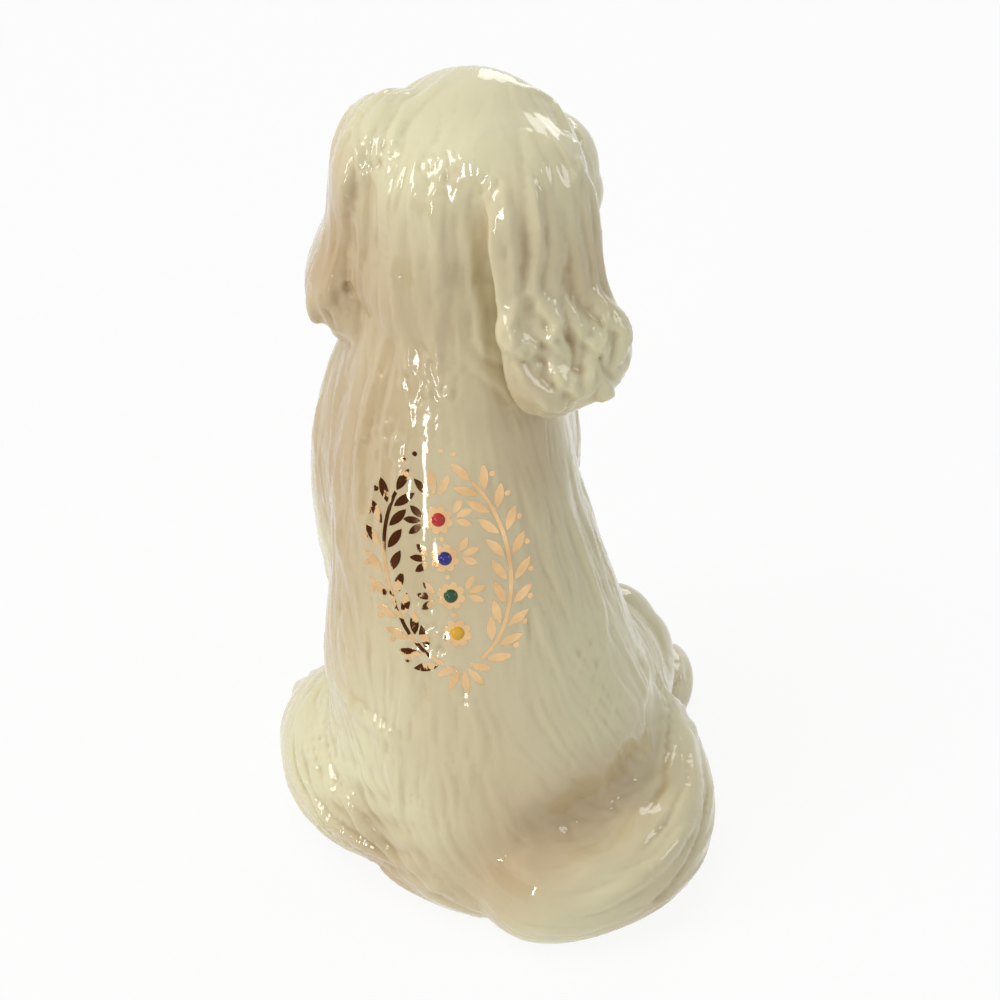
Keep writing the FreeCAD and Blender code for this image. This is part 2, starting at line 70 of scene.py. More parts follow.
# Lumps on each side of the face, from the skull's middle: brow, cheek, flew and lip, with their half sizes
FACE = [
    ((6.4, -11, 5.4), (5, 3.4, 2.8)), ((11, -7, -5.5), (5, 7.5, 7)),
    ((4.8, -22, -11.6), (4.6, 7.6, 6.2)), ((3.4, -27, -9.6), (3.2, 3, 3.6)),
]
CHIN = ((0, -19.0, -15.0), (4.2, 6.8, 3.2))

# The eye's middle, from the skull's, half its width, and how far its lids arch
EYE = (9.7, -14.5, 2.0)
EYE_HALF_WIDTH = 2.4
LID_ARCH = 2.0

# The upper and the lower lid: which way it arches, thickness
LIDS = ((1, 0.9), (-1, 0.7))
LID_TAPER = (0.4, 0.8, 1.0, 1.0, 1.0, 0.8, 0.4)

# Combing: points on the clay and the way that the hair lies there
COMBING = np.array([
    (5, -15, 126, 0.83, 0.51, -0.21), (11, -14, 124, 0.77, 0.32, -0.55), (-1, -13, 127, 0.1, 0.99, -0.11),
    (-7, -11, 125, -0.04, 0.97, -0.24), (-12, -11, 121, -0.4, 0.67, -0.63),
    (6, -4, 123, 0.38, 0.71, -0.59), (12, -6, 120, 0.38, 0.53, -0.76), (16, -12, 119, 0.47, 0.84, -0.26),
    (1, -2, 122, 0.13, 0.74, -0.66), (-4, 1, 122, 0.06, 0.83, -0.56), (-10, 0, 121, -0.44, 0.51, -0.74),
    (14, -3, 114, 0.2, 0.12, -0.97), (9, 1, 115, 0.13, 0.33, -0.94), (3, 3, 115, 0.02, 0.32, -0.95),
    (16, -11, 102, 0.17, 0.5, -0.84), (12, -1, 105, -0.01, -0.38, -0.93),
    (6, 3, 106, -0.01, -0.27, -0.96), (2, 3, 106, -0.05, -0.25, -0.97),
    (18, -10, 92, 0.21, 0.16, -0.96), (13, -2, 95, 0.12, 0.24, -0.96), (8, 1, 96, 0.06, 0.22, -0.97),
    (2, 2, 94, -0.09, 0.22, -0.97), (22, -14, 80, 0.34, 0.17, -0.92), (17, -1, 85, 0.26, 0.22, -0.94),
    (10, 4, 87, 0.08, 0.35, -0.93), (3, 5, 85, -0.07, 0.33, -0.94), (-3, 5, 81, -0.22, 0.22, -0.95),
    (25, -14, 68, 0.15, -0.19, -0.97), (22, -2, 74, 0.18, 0.32, -0.93), (-6, 5, 74, -0.13, 0.29, -0.95),
    (-10, 0, 74, -0.14, 0.24, -0.96), (26, -20, 51, 0.0, -0.45, -0.89), (24, 1, 62, 0.08, 0.24, -0.97),
    (-6, 10, 64, -0.12, 0.34, -0.93), (-11, 5, 64, -0.24, 0.18, -0.95), (26, 0, 49, 0.09, 0.45, -0.89),
    (24, 6, 47, 0.04, 0.42, -0.91), (-4, 15, 55, -0.12, 0.34, -0.93), (-12, 9, 56, -0.24, 0.26, -0.94),
    (10, 9, 75, 0.08, 0.38, -0.92), (11, 13, 63, 0.08, 0.33, -0.94), (11, 17, 53, 0.07, 0.28, -0.96),
    (26, 5, 41, 0.0, 0.52, -0.85), (22, 13, 39, -0.19, 0.54, -0.82), (-14, 4, 56, -0.24, 0.24, -0.94),
    (-13, 9, 52, -0.34, 0.12, -0.93), (14, 20, 39, 0.16, 0.24, -0.96), (6, 22, 40, 0.02, 0.32, -0.95),
    (0, 22, 40, -0.22, 0.31, -0.93), (-6, 20, 40, -0.33, 0.23, -0.92), (19, 20, 30, 0.3, -0.08, -0.95),
    (13, 24, 28, 0.18, 0.14, -0.97), (6, 26, 29, -0.03, 0.29, -0.96), (-2, 25, 31, -0.45, 0.21, -0.87),
    (-11, 22, 31, -0.5, 0.06, -0.87), (-16, 20, 27, -0.47, -0.07, -0.88), (19, 21, 19, 0.17, -0.12, -0.98),
    (13, 25, 23, 0.05, 0.16, -0.99), (9, 28, 17, 0.0, 0.11, -0.99), (2, 28, 20, -0.43, 0.2, -0.88),
    (-5, 27, 22, -0.68, 0.04, -0.73), (-12, 24, 23, -0.68, -0.17, -0.71),
    (32, -11, 20, 0.44, 0.86, -0.26), (34, -4, 17, 0.11, 0.91, -0.4), (32, 3, 19, -0.06, 0.91, -0.4),
    (27, 6, 24, -0.19, 0.73, -0.66), (32, 7, 13, -0.36, 0.83, -0.42), (26, 13, 17, -0.47, 0.78, -0.41),
    (28, 13, 10, -0.67, 0.69, -0.26), (22, 17, 10, -0.84, 0.35, -0.42), (20, 20, 10, -0.72, 0.67, -0.15),
    (15, 24, 9, -0.77, 0.58, -0.28), (11, 27, 8, -0.86, 0.39, -0.33),
    (-24, -16, 30, 0.12, 0.98, -0.18), (-27, -14, 26, -0.18, 0.67, -0.72), (-17, 12, 38, -0.24, 0.26, -0.94),
    (-25, -3, 27, -0.25, 0.79, -0.56), (-13, 17, 37, -0.42, 0.08, -0.9), (-20, 12, 30, -0.43, -0.26, -0.86),
    (3, 35, 12, -0.87, 0.48, 0.09), (-3, 37, 11, -1.0, 0.04, 0.07), (-10, 36, 13, -0.95, -0.27, 0.14),
    (-16, 32, 15, -0.81, -0.55, 0.2), (-23, 26, 16, -0.6, -0.79, 0.11), (-29, 17, 16, -0.34, -0.94, 0.02),
    (-4, 34, 16, -0.99, -0.05, 0.09), (-14, 30, 17, -0.81, -0.57, 0.12), (-22, 18, 18, -0.47, -0.88, 0.03),
    (-27, 6, 19, -0.21, -0.98, 0.06), (-33, -8, 14, 0.05, -1.0, -0.1), (-30, -16, 12, 0.25, -0.95, -0.1),
    (-2, 4, 119, -0.1, 0.51, -0.86), (-7, 3, 119, -0.21, 0.5, -0.84), (-11, 3, 116, -0.14, 0.31, -0.94),
    (0, 7, 112, 0.04, 0.16, -0.99), (-5, 6, 112, -0.01, 0.14, -0.99), (-10, 5, 110, -0.07, 0.08, -0.99),
    (-13, 3, 108, -0.08, 0.04, -1.0), (-1, 7, 103, -0.02, 0.06, -1.0), (-5, 7, 102, -0.06, 0.11, -0.99),
    (-11, 5, 101, -0.21, 0.09, -0.97), (-1, 9, 95, -0.04, 0.27, -0.96), (-6, 9, 95, -0.24, 0.27, -0.93),
    (-12, 7, 95, -0.44, 0.17, -0.88), (-15, 7, 91, -0.35, 0.16, -0.92), (-6, 10, 89, -0.25, 0.13, -0.96),
    (-13, 9, 86, -0.18, -0.08, -0.98), (-18, 5, 91, -0.45, 0.06, -0.89), (-20, -4, 100, -0.2, 0.0, -0.98),
    (-19, -5, 112, -0.2, 0.0, -0.98), (16, -16, 122, 0.58, 0.76, -0.3), (19, -12, 119, 0.39, 0.64, -0.66),
    (21, -10, 113, 0.13, -0.06, -0.99), (19, -8, 113, 0.05, -0.02, -1.0), (23, -14, 103, 0.23, 0.26, -0.94),
    (20, -9, 105, 0.03, -0.14, -0.99), (24, -11, 98, 0.38, -0.16, -0.91), (21, -10, 96, 0.02, -0.23, -0.97),
    (24, -9, 95, -0.12, 0.01, -0.99), (22, -24, 112, 0.1, -0.1, -0.99), (24, -24, 98, 0.2, -0.1, -0.97),
    (0, -40, 60, 0.05, -0.2, -0.98), (10, -38, 70, 0.15, -0.1, -0.98), (-8, -36, 72, -0.15, -0.1, -0.98),
    (6, -34, 85, 0.05, -0.1, -0.99), (-6, -34, 86, -0.1, -0.1, -0.99), (20, -34, 60, 0.2, 0.0, -0.98),
    (-14, -32, 60, -0.2, 0.1, -0.98), (20, -38, 35, 0.1, 0.1, -0.99), (-8, -38, 35, -0.1, 0.1, -0.99),
    (16, -44, 12, 0.1, -0.6, -0.8), (-8, -44, 12, -0.1, -0.6, -0.8), (6, -40, 45, 0.0, 0.0, -1.0),
    (-26, -24, 14, -0.3, -0.3, -0.9), (30, -24, 14, 0.3, -0.5, -0.8), (34, -14, 12, 0.2, -0.3, -0.9),
    (-22, -10, 45, -0.3, 0.2, -0.93), (-18, -10, 60, -0.2, 0.2, -0.96), (-15, -16, 75, -0.15, 0.1, -0.98),
    (24, -14, 40, 0.15, 0.3, -0.94), (-10, -24, 98, -0.2, 0.0, -0.98), (14, -26, 96, 0.1, 0.0, -0.99),
])

# Paws: the middle of their toes, their heading in degrees and the step from toe to toe
PAWS = [
    ((16.4, -44.3, 3.6), 0, 3.432), ((-6.9, -44.3, 3.6), 0, 3.432),
    ((26.2, -33, 3.6), 7, 2.496), ((-32.4, -31.4, 3.6), -22, 2.34),
]
TOE_SIZE = (2.1, 4.3, 3.5)

# The floor of the vent: middle, half sizes
VENT_FLOOR = ((0, 13.0, 4.8), (8.5, 8.5, 2.4))

# Lumps that fill the joints between the castings: middle, half sizes, lean in degrees
FILLS = [
    ((5.2, -8.6, 98), (13.4, 11.2, 13), 0), ((13.6, -12.6, 119), (5, 5, 5), 0),
    ((11.8, -14.4, 121.6), (5.4, 5.4, 3.8), 0), ((-6.5, -5, 117), (8, 6, 6), 0),
    ((17.2, -12.6, 106), (4.4, 5.2, 14), 0), ((17.2, -12.6, 113), (4, 4.4, 8), 0),
    ((20.4, -13.2, 92), (4, 4.4, 6), 0), ((18.4, -13.5, 94), (3.6, 3.6, 5.5), 0),
    ((20, -14.2, 95.5), (3.4, 3.2, 6), 0), ((0.4, -2.4, 119.6), (7, 5.4, 5), 0),
    ((-17.5, 1, 26), (7, 12, 9), 20), ((-20.5, -8, 20), (8, 14, 12), 0),
    ((-26, -15, 17), (6.4, 8.5, 10), 0), ((-24, -4, 18), (5, 9, 6), 0),
]

# Coils of hair on the ears, seven on the right one and two on the left one: thickness, points
CURLS = [
    (1.9, [(-5.4, 5.9, 103.8), (-6.3, 6.2, 99.8), (-8.5, 6.3, 97.1), (-7.4, 7.5, 94.6), (-9.4, 7.9, 92)]),
    (2.1, [(-2.6, 6.8, 101.5), (-1.2, 7.2, 98), (-1.5, 8, 94.9), (-3.8, 8.5, 93.1), (-5.6, 7.8, 94.9)]),
    (2.2, [(-1.6, 8.4, 93.3), (-3, 9.3, 89.5), (-5.6, 9.4, 86.1), (-8.9, 8.6, 84.2)]),
    (2, [(-10, 4.8, 100.6), (-10.9, 5.5, 96.5), (-13.2, 5.7, 93.3), (-15.6, 5.4, 91.1), (-15.3, 6.3, 88.8)]),
    (2.1, [(-5, 8.4, 92.4), (-8, 9, 88.9), (-11.2, 8.5, 86.4), (-13.9, 7.4, 87.4), (-13, 7.2, 89.6)]),
    (2.2, [(-13.4, 3, 100), (-16.1, 3.1, 95.8), (-18.2, 3, 92.4), (-18, 4.2, 89.6), (-16.2, 5.8, 87.4)]),
    (1.8, [(-10.6, 7.5, 91.4), (-12.9, 7.6, 87.6), (-15.2, 6.6, 84.9), (-15.6, 6.6, 82.8)]),
    (1.5, [(22.6, -13.4, 101.5), (24.4, -13.6, 98.2), (23.8, -13.2, 94.8), (25.6, -12.8, 91.8),
           (24.6, -13.2, 89)]),
    (1.4, [(20.2, -12.2, 99), (21.6, -12.2, 95.6), (20.6, -12.6, 92.4), (22, -12.6, 89)]),
]
CURL_TAPER = (0.4, 0.95, 1.15, 1.0, 0.5)

# Hair that is combed in: number of strands, width, length, height, lean
LOCKS = (330, 4.4, 17, 0.42, 0.5)
STRANDS = (1900, 1.5, 12, 0.16, 0.4)
FINE_HAIRS = (3400, 0.95, 8, 0.12, 0.0)
BREAST_FEATHERS = (80, 4.8, 15, 0.62, 0.6)
LOW_FEATHERS = (34, 3.4, 17, 0.55, 0.6)

# Where the feathers grow, as boxes: lowest corner, highest corner
BREAST = ((-13, -99, 26), (21, -17, 90))
LOW_SIDE = ((12, -4, 3), (99, 99, 30))

# How much all the hair waves, how long a wave is, and where it waves more: middle, radius, amount
WAVE_AMOUNT = 0.15
WAVE_LENGTH = 9.0
WAVY = [((-9, 5, 90), 17, 0.75), ((24, -12, 97), 14, 0.3), ((4, -30, 62), 34, 0.55)]

# How strong the hair's relief is: middle, radius, share
RELIEF = [
    ((12, 12, 62), 17, 0.25), ((12, 17, 50), 13, 0.3), ((8, 8, 76), 12, 0.7), ((0, -6, 122), 16, 0.55),
    ((16, -48, 4), 11, 0.0), ((-7, -48, 4), 11, 0.0), ((31, -34, 4), 11, 0.0), ((-36, -30, 4), 11, 0.0),
    ((-28, -18, 24), 10, 0.15), ((-14, -34, 106), 16, 0.2), ((-16, -30, 98), 12, 0.2),
    ((-12, 17, 40), 15, 0.6), ((-21, 20, 18), 10, 0.5), ((-12, 30, 16), 10, 0.4), ((-2, 34, 13), 9, 0.5),
    ((26, 14, 10), 13, 1.5), ((-10, 8, 90), 13, 1.4), ((23, -12, 97), 11, 1.2), ((6, 2, 102), 14, 0.6),
    ((-15, 4, 50), 12, 1.5), ((26, -18, 56), 12, 1.6), ((-28, 8, 17), 11, 0.45), ((-21, 8, 24), 9, 0.3),
    ((-27, -14, 16), 9, 0.4),
]

# Places worked smooth with a wet finger: middle, radius
IRONED = [
    ((9, -4, 99), 15), ((15, -10, 119), 9), ((-6, -5, 120), 11), ((0, -1, 121), 14), ((19, -9, 103), 12),
    ((13, -13, 122), 8), ((20, -12, 91), 6), ((-21, 6, 24), 9), ((-29, 8, 17), 9), ((-28, -12, 18), 9),
    ((8, 30, 12), 12), ((-3, 30, 18), 8), ((-11, 27, 18), 8), ((-18, 21, 20), 8),
    ((-24, 4, 22), 10), ((26, 6, 26), 13), ((24, 14, 14), 12), ((-20, -4, 34), 13), ((-17, 8, 36), 12),
    ((24, -10, 60), 14), ((24, -12, 40), 14), ((22, -12, 76), 12), ((-12, -14, 70), 14), ((-14, -14, 50), 14),
    ((-26, -14, 12), 9), ((16, -22, 112), 7), ((-22, -2, 26), 10), ((-6, -30, 92), 10), ((10, -32, 88), 10),
]

# Thumb marks: middle, radius, depth pressed in
THUMBED = [
    ((-11, 26, 20), 9, 2.2), ((-4, 29, 19), 8, 1.4), ((-19, 19, 21), 8, 2.0), ((-23, 9, 22), 7, 1.2),
    ((2, 3, 104), 6, 0.8), ((3, 3, 111), 5, 0.5), ((20, -9, 104), 6, 0.5),
    ((-9, -1, 60), 9, 0.8), ((22, 14, 37), 7, 0.7),
]

# The height and length of the small crinkles of the glaze, and where they are: middle, radius
CRINKLE_HEIGHT = 0.13
CRINKLE_LENGTH = 1.9
CRINKLED = [
    ((9.9, 3.5, 87), 8), ((13.3, 16.9, 49.7), 7), ((6.9, -0.3, 119), 6), ((-0.2, 4.8, 118), 5),
    ((-13.7, 17.8, 34.9), 6), ((-11.7, 16, 41.9), 6), ((17, 3.4, 77.3), 6), ((16.9, 13, 54.8), 6),
    ((14.7, -7.5, 118), 6), ((29, 2, 20), 7),
]

# Lines drawn in the clay: width, height (grooves below zero), points
DRAWN = [
    (2.8, -0.5, [(18.4, -8.7, 116.2), (18.7, -10, 105.8), (19, -13, 97), (19.1, -14.8, 91.2)]),
    (2.4, 0.45, [(15.7, -11.4, 117.8), (16.4, -8.6, 111.5), (16.8, -8.6, 101), (17.6, -8.6, 91)]),
    (2.2, 0.45, [(11.6, -17.5, 124.4), (12.8, -16.1, 122.7), (15.1, -13.5, 119), (16.6, -9.4, 114.7)]),
    (2.6, 0.5, [(-6.1, -12.7, 125.7), (-11.4, -13.9, 122.1), (-14.6, -8, 119.6), (-13.7, -0.7, 117.7),
                (-11, 2.6, 115.8)]),
    (3, 0.35, [(12.7, -1.3, 114.4), (13.2, -2.8, 104), (13.1, -1.4, 94.7), (12.7, 2.2, 86.5)]),
    (3.2, 0.35, [(8.5, 0.7, 116.5), (8.1, 2.3, 109.4), (7.7, 0.7, 98.7), (8.8, 2.8, 89.9)]),
    (3, 0.3, [(4.2, 2.4, 115.4), (3.4, 3.3, 107.8), (2.2, 1.7, 96.9), (1.9, 4, 88.1)]),
    (3.2, 0.3, [(-2.5, 8.3, 72.7), (-5.7, 11.2, 61.7), (-8.2, 13.9, 52.1)]),
    (3.4, 0.4, [(-9.2, 4.6, 67.9), (-11.9, 6.6, 57.9), (-14.6, 9, 48), (-15.3, 13.4, 39.6)]),
    (3.8, 0.45, [(22.1, -5.3, 76.2), (24.3, -4.2, 66.3), (24.4, 0.3, 58.3), (23.5, 5.8, 50.7)]),
    (3.6, 0.4, [(17.6, -1.7, 84.8), (20.4, -0.2, 75.5), (21.5, 3.1, 67), (20.9, 7.5, 58.9)]),
    (3.8, 0.5, [(-1.7, 4.8, 117), (-2.2, 6.8, 112.2), (-2.4, 7.3, 104.4), (-2.2, 7.7, 100.6)]),
    (3.6, 0.6, [(-5.9, 5.1, 115.7), (-6.3, 6.2, 108.3), (-4.6, 7.1, 102.4), (-2.4, 7.8, 99.8)]),
    (3.6, 0.5, [(-10.6, 3, 115.8), (-11.8, 3.9, 108.2), (-12.8, 3.8, 103.1), (-13.9, 4.2, 98.3)]),
    (3, 0.5, [(-8.2, 4.2, 114.8), (-8.8, 5.3, 108.4), (-8, 6.1, 103.2), (-9.2, 6.2, 99.8)]),
    (2.8, -0.45, [(-3.8, 5.8, 113), (-4.2, 6.6, 107), (-3.4, 7.2, 102.6), (-4.4, 7.6, 98.4)]),
    (2.8, -0.45, [(-11, 4.8, 106), (-10.6, 5.2, 102.4), (-12, 5.2, 99), (-12.2, 6, 95.8)]),
    (2.6, -0.45, [(-5.2, 8.8, 95.4), (-6.4, 9.4, 92.6), (-5.8, 9.8, 90), (-7.4, 10, 87.6)]),
    (2.6, -0.45, [(-9.8, 8, 95), (-11.4, 7.8, 92.4), (-11, 8.6, 89.8), (-12.6, 8.4, 88.6)]),
    (1.9, 0.4, [(-5.4, 6.8, 103.8), (-6.3, 7.1, 99.8), (-8.5, 7.1, 97.1), (-7.4, 8.3, 94.6),
                (-9.4, 8.7, 92)]),
    (1.9, 0.4, [(-2.6, 7.7, 100.5), (-1.2, 8.1, 97.6), (-1.7, 8.9, 94.7), (-3.8, 9.5, 93.1),
                (-5.4, 8.8, 94.5)]),
    (1.9, 0.4, [(-1.6, 9.3, 93.3), (-3.2, 10.4, 89.5), (-5.8, 10.5, 85.9), (-8.9, 9.5, 83.7)]),
    (1.9, 0.4, [(-10, 5.7, 100.3), (-10.9, 6.4, 96.5), (-13.2, 6.6, 93.3), (-15.6, 6.2, 91.1),
                (-15.3, 7.1, 89)]),
    (1.9, 0.4, [(-6.6, 9.5, 91.9), (-8.4, 9.9, 88.6), (-11.5, 9.2, 86.2), (-13.8, 8.2, 87)]),
    (1.9, 0.4, [(-13.9, 4.2, 98.3), (-16.1, 4, 95.4), (-18.4, 3.6, 92.4), (-18.3, 4.9, 89.8),
                (-16.8, 6.5, 87.7)]),
    (4.2, 0.35, [(33.3, 2.3, 16), (27.6, 10.7, 16.4), (21.2, 18.1, 18.8), (15.4, 22.9, 20.8)]),
    (4.2, 0.35, [(31.4, 7.3, 13.3), (25.7, 14.2, 12.9), (20, 19.8, 14), (14.9, 23.9, 16.6)]),
    (4.2, 0.35, [(32.8, -1, 19.6), (27.2, 8.1, 20.2), (21, 17.9, 23.6)]),
    (4, 0.35, [(27.4, 13.6, 10), (21.6, 18.7, 8.5), (15.9, 23.9, 11.7)]),
    (3.8, 0.35, [(22.4, 18.2, 5.6), (16.8, 23.6, 6.1), (11.7, 26.8, 8.9)]),
    (4, 0.6, [(27, 4.6, 35), (25.8, 8.6, 34.5), (23.6, 12.9, 33.7), (20.6, 17, 33.1), (17.4, 20, 32.4)]),
    (5.2, 0.6, [(-28.3, -3, 19.8), (-30, 6.4, 17.9), (-29, 14.7, 16.6), (-26.5, 21.4, 15.5),
                (-22.5, 28, 13.9), (-16.7, 32.9, 12.4), (-10.6, 35.7, 10.8), (-4.1, 36.6, 10.3)]),
    (2.2, -0.4, [(-32, 8, 14.6), (-30.1, 17, 13.4), (-27.7, 23.2, 11.9), (-23.6, 29.3, 9.3),
                 (-18.6, 33, 6.4), (-14, 34.6, 4.6)]),
    (1.6, -0.35, [(-27, 2, 19.4), (-25.4, 11, 18.9), (-22.6, 19, 18.3), (-17.4, 26.4, 17.4)]),
    (1.6, -0.3, [(-29.6, 8, 17.6), (-27, 17, 17), (-22, 25.4, 16), (-15, 31.6, 14.6)]),
]

# Painted shade and painted warm reflected light in the glaze's colour: middle, radius, amount
PAINTED_SHADE_SPOTS = [
    ((22, -14, 104), 20, 0.85), ((22, -4, 84), 24, 0.64), ((27, -10, 64), 26, 0.78), ((26, -2, 44), 22, 0.55),
    ((8, 2, 92), 18, 0.25), ((-3, 5, 88), 14, 0.15), ((-10, 24, 20), 13, 0.68), ((8, 30, 10), 12, 0.55),
    ((-22, 30, 6), 16, 0.3), ((-16, -8, 96), 14, 0.35), ((22, 18, 8), 16, 0.6), ((8, 22, 34), 20, 0.38),
    ((4, 26, 20), 14, 0.35), ((-9, 5, 108), 14, 0.2), ((11, 12, 62), 28, 0.5), ((4, 2, 108), 16, 0.35),
    ((-20, 16, 20), 13, 0.38), ((-6, 6, 77), 14, 0.45), ((-15, 3, 103), 10, 0.35), ((0, 31, 17), 12, 0.6),
    ((-1, 10, 88), 7, 0.45), ((12, -1, 98), 10, 0.25),
]

# How far each combing point is felt, how many rounds the joints are ironed, and how far the rims of the
# castings are turned in
COMB_REACH = 8.0
IRON_ROUNDS = 110
RIM = 1.2

# Gilding: its longest edge, how far its top stands from the construction's torso, its thickness on the
# finished skin, and how deep its foot sits there
FILM_EDGE = 0.7
FILM_TOP = 0.2
FILM_THICKNESS = 0.15
FILM_FOOT = 0.11

# Enamel beads: radius, height, and the half outline of a drop as shares of these
BEAD_RADIUS = 1.05
BEAD_HEIGHT = 0.95
DROP = ((0.0, 1.0), (0.42, 0.93), (0.74, 0.70), (0.92, 0.40), (0.99, 0.14), (1.06, -0.12), (0.9, -0.45))

# Colours of the glaze: where it is thin, its clouds, its painted shade and warm reflected light, and its
# recesses, darkened partly by glaze that has pooled and partly by painted shade
IVORY = (0.79, 0.755, 0.50)
IVORY_CLOUD = (0.77, 0.70, 0.45)
PAINTED_SHADE_COLOUR = (0.53, 0.370, 0.205)
POOLED_AND_SHADED_GLAZE = (0.46, 0.32, 0.16)

# Colours of the gold, worn and bright
WORN_GOLD = (0.60, 0.35, 0.15)
BRIGHT_GOLD = (0.88, 0.63, 0.35)

# Colours of the enamels, deep and clear
ENAMELS = {
    "red": ((0.38, 0.005, 0.005), (0.62, 0.015, 0.012)),
    "blue": ((0.003, 0.006, 0.12), (0.008, 0.014, 0.28)),
    "green": ((0.002, 0.035, 0.010), (0.006, 0.11, 0.03)),
    "yellow": ((0.66, 0.32, 0.005), (0.85, 0.50, 0.02)),
}
DARK_ENAMEL = ((0.010, 0.006, 0.004), (0.030, 0.016, 0.010))

# The studio, in metres: the camera's place and its axes
CAMERA_PLACE = (0.0500226, 0.3448136, 0.2887484)
CAMERA_RIGHT = (-0.98794, 0.15324, -0.02195)
CAMERA_ABOVE = (-0.10170, -0.53551, 0.83838)
CAMERA_BACK = (0.11672, 0.83051, 0.54464)

# Lamps, all turned to one point: name, place, width, height, watts
AIM = (0, 0, 0.06)
LAMPS = [
    ("overhead", (0.3, 0.0, 1.0), 0.7, 0.7, 4.3), ("window", (0.6, 0.76, 0.27), 0.09, 0.3, 1.5),
    ("side_window", (0.9, 0.25, 0.55), 0.25, 0.35, 2.4), ("fill", (-0.9, 0.3, 0.5), 0.28, 0.34, 1.3),
    ("front", (-0.4, -0.9, 0.5), 0.5, 0.5, 2.2),
]

# The dark card: its middle, width and height
CARD_PLACE = (0.335, 0.195, 0.06)
CARD_SIZE = (0.27, 0.20)

# Clay helpers

def deselect():
    """Leaves nothing selected."""
    bpy.ops.object.select_all(action="DESELECT")


def make_active(obj):
    """Selects one object alone."""
    deselect()
    obj.select_set(True)
    bpy.context.view_layer.objects.active = obj


def apply_modifiers(obj):
    """Applies all the modifiers of an object."""
    make_active(obj)
    for modifier in list(obj.modifiers):
        bpy.ops.object.modifier_apply(modifier=modifier.name)


def in_head(x, y, z):
    """A point given from the skull's middle, its nose towards -Y, in the frame's axes."""
    turn = math.radians(HEAD_TURN)
    return (SKULL[0] + math.cos(turn) * x - math.sin(turn) * y,
            SKULL[1] + math.sin(turn) * x + math.cos(turn) * y, SKULL[2] + z)


def add_object(name, data):
    """A new object in the scene."""
    obj = bpy.data.objects.new(name, data)
    bpy.context.scene.collection.objects.link(obj)
    return obj


def copy_of(name):
    """A copy of a node of the frame, its corners joined."""
    mesh = nodes[name].data.copy()
    clay = bmesh.new()
    clay.from_mesh(mesh)
    bmesh.ops.remove_doubles(clay, verts=clay.verts, dist=1e-6)
    clay.to_mesh(mesh)
    clay.free()
    mesh.materials.clear()
    return add_object(f"clay_{name}", mesh)


def pellet(at, radii, turn=(0, 0, 0)):
    """A rounded lump of clay: its middle, its half sizes and its turns in degrees."""
    deselect()
    bpy.ops.mesh.primitive_uv_sphere_add(segments=32, ring_count=20, radius=1.0,
                                         location=[c * MM for c in at],
                                         rotation=[math.radians(a) for a in turn])
    obj = bpy.context.active_object
    obj.scale = [r * MM for r in radii]
    bpy.ops.object.transform_apply(location=True, rotation=True, scale=True)
    return obj


def coil(points, radii):
    """A tapering coil of clay through points."""
    line = bpy.data.curves.new("coil", "CURVE")
    line.dimensions = "3D"
    line.bevel_depth = MM
    line.bevel_resolution = 4
    line.use_fill_caps = True
    spline = line.splines.new("NURBS")
    spline.points.add(len(points) - 1)
    for point, place, radius in zip(spline.points, points, radii):
        point.co = [c * MM for c in place] + [1.0]
        point.radius = radius
    spline.order_u = 3
    spline.use_endpoint_u = True
    make_active(add_object("coil", line))
    bpy.ops.object.convert(target="MESH")
    return bpy.context.active_object


def joined(objects):
    """One object from several."""
    deselect()
    for obj in objects:
        obj.select_set(True)
    bpy.context.view_layer.objects.active = objects[0]
    bpy.ops.object.join()
    return bpy.context.active_object


# Modelling the clay

def face_clay():
    """Lumps for the brows, cheeks, flews, lips, lids and chin."""
    parts = []
    turn = (0, 0, HEAD_TURN)
    for side in (1, -1):
        for (x, y, z), size in FACE:
            parts.append(pellet(in_head(x * side, y, z), size, turn))
        for lid, thick in LIDS:
            arc = []
            for step in range(len(LID_TAPER)):
                angle = math.pi * step / (len(LID_TAPER) - 1)
                along = -EYE_HALF_WIDTH * math.cos(angle)
                arc.append(in_head((EYE[0] + 0.80 * along) * side, EYE[1] + 0.52 * along,
                                   EYE[2] + lid * LID_ARCH * math.sin(angle) - 0.3 * along))
            parts.append(coil(arc, [thick * share for share in LID_TAPER]))
    middle, size = CHIN
    parts.append(pellet(in_head(*middle), size, turn))
    return parts


def mouth():
    """The line of the mouth and the groove below the nose, drawn in the clay."""
    lines = [(1.6, -0.7, [in_head(0, -30.0, -7.0), in_head(0, -29.6, -9.0), in_head(0, -28.8, -11.4)])]
    for way in (1, -1):
        lines.append((1.7, -0.9, [in_head(0.4 * way, -28.8, -11.6), in_head(3.6 * way, -27.0, -14.4),
                                  in_head(7.0 * way, -22.0, -15.6), in_head(8.8 * way, -16.0, -14.0),
                                  in_head(9.6 * way, -12.0, -11.6)]))
    return lines


def on_paw(paw, across, ahead, height):
    """A point of a paw: across it, ahead of the middle of its toes, and above the floor."""
    middle, heading, _ = paw
    turn = math.radians(heading)
    return (middle[0] + across * math.cos(turn) + ahead * math.sin(turn),
            middle[1] + across * math.sin(turn) - ahead * math.cos(turn), height)


def toes():
    """Four toes to each paw, the middle two ahead of the others."""
    parts = []
    for paw in PAWS:
        middle, heading, step = paw
        for number in (-1.5, -0.5, 0.5, 1.5):
            place = on_paw(paw, number * step, 2.2 - 1.5 * abs(number), middle[2])
            parts.append(pellet(place, TOE_SIZE, (0, 0, heading)))
    return parts


def toe_grooves():
    """The grooves between the toes, drawn in the clay."""
    lines = []
    for paw in PAWS:
        for number in (-1, 0, 1):
            line = [on_paw(paw, number * paw[2], ahead, height)
                    for ahead, height in ((0.4, 8.0), (3.6, 6.4), (6.0, 3.6), (6.8, 0.8))]
            lines.append((1.8, -0.75, line))
    return lines


def curls():
    """Coils of hair on the lower half of the right ear and along the edge of the left one."""
    return [coil(points, [thick * share for share in CURL_TAPER]) for thick, points in CURLS]


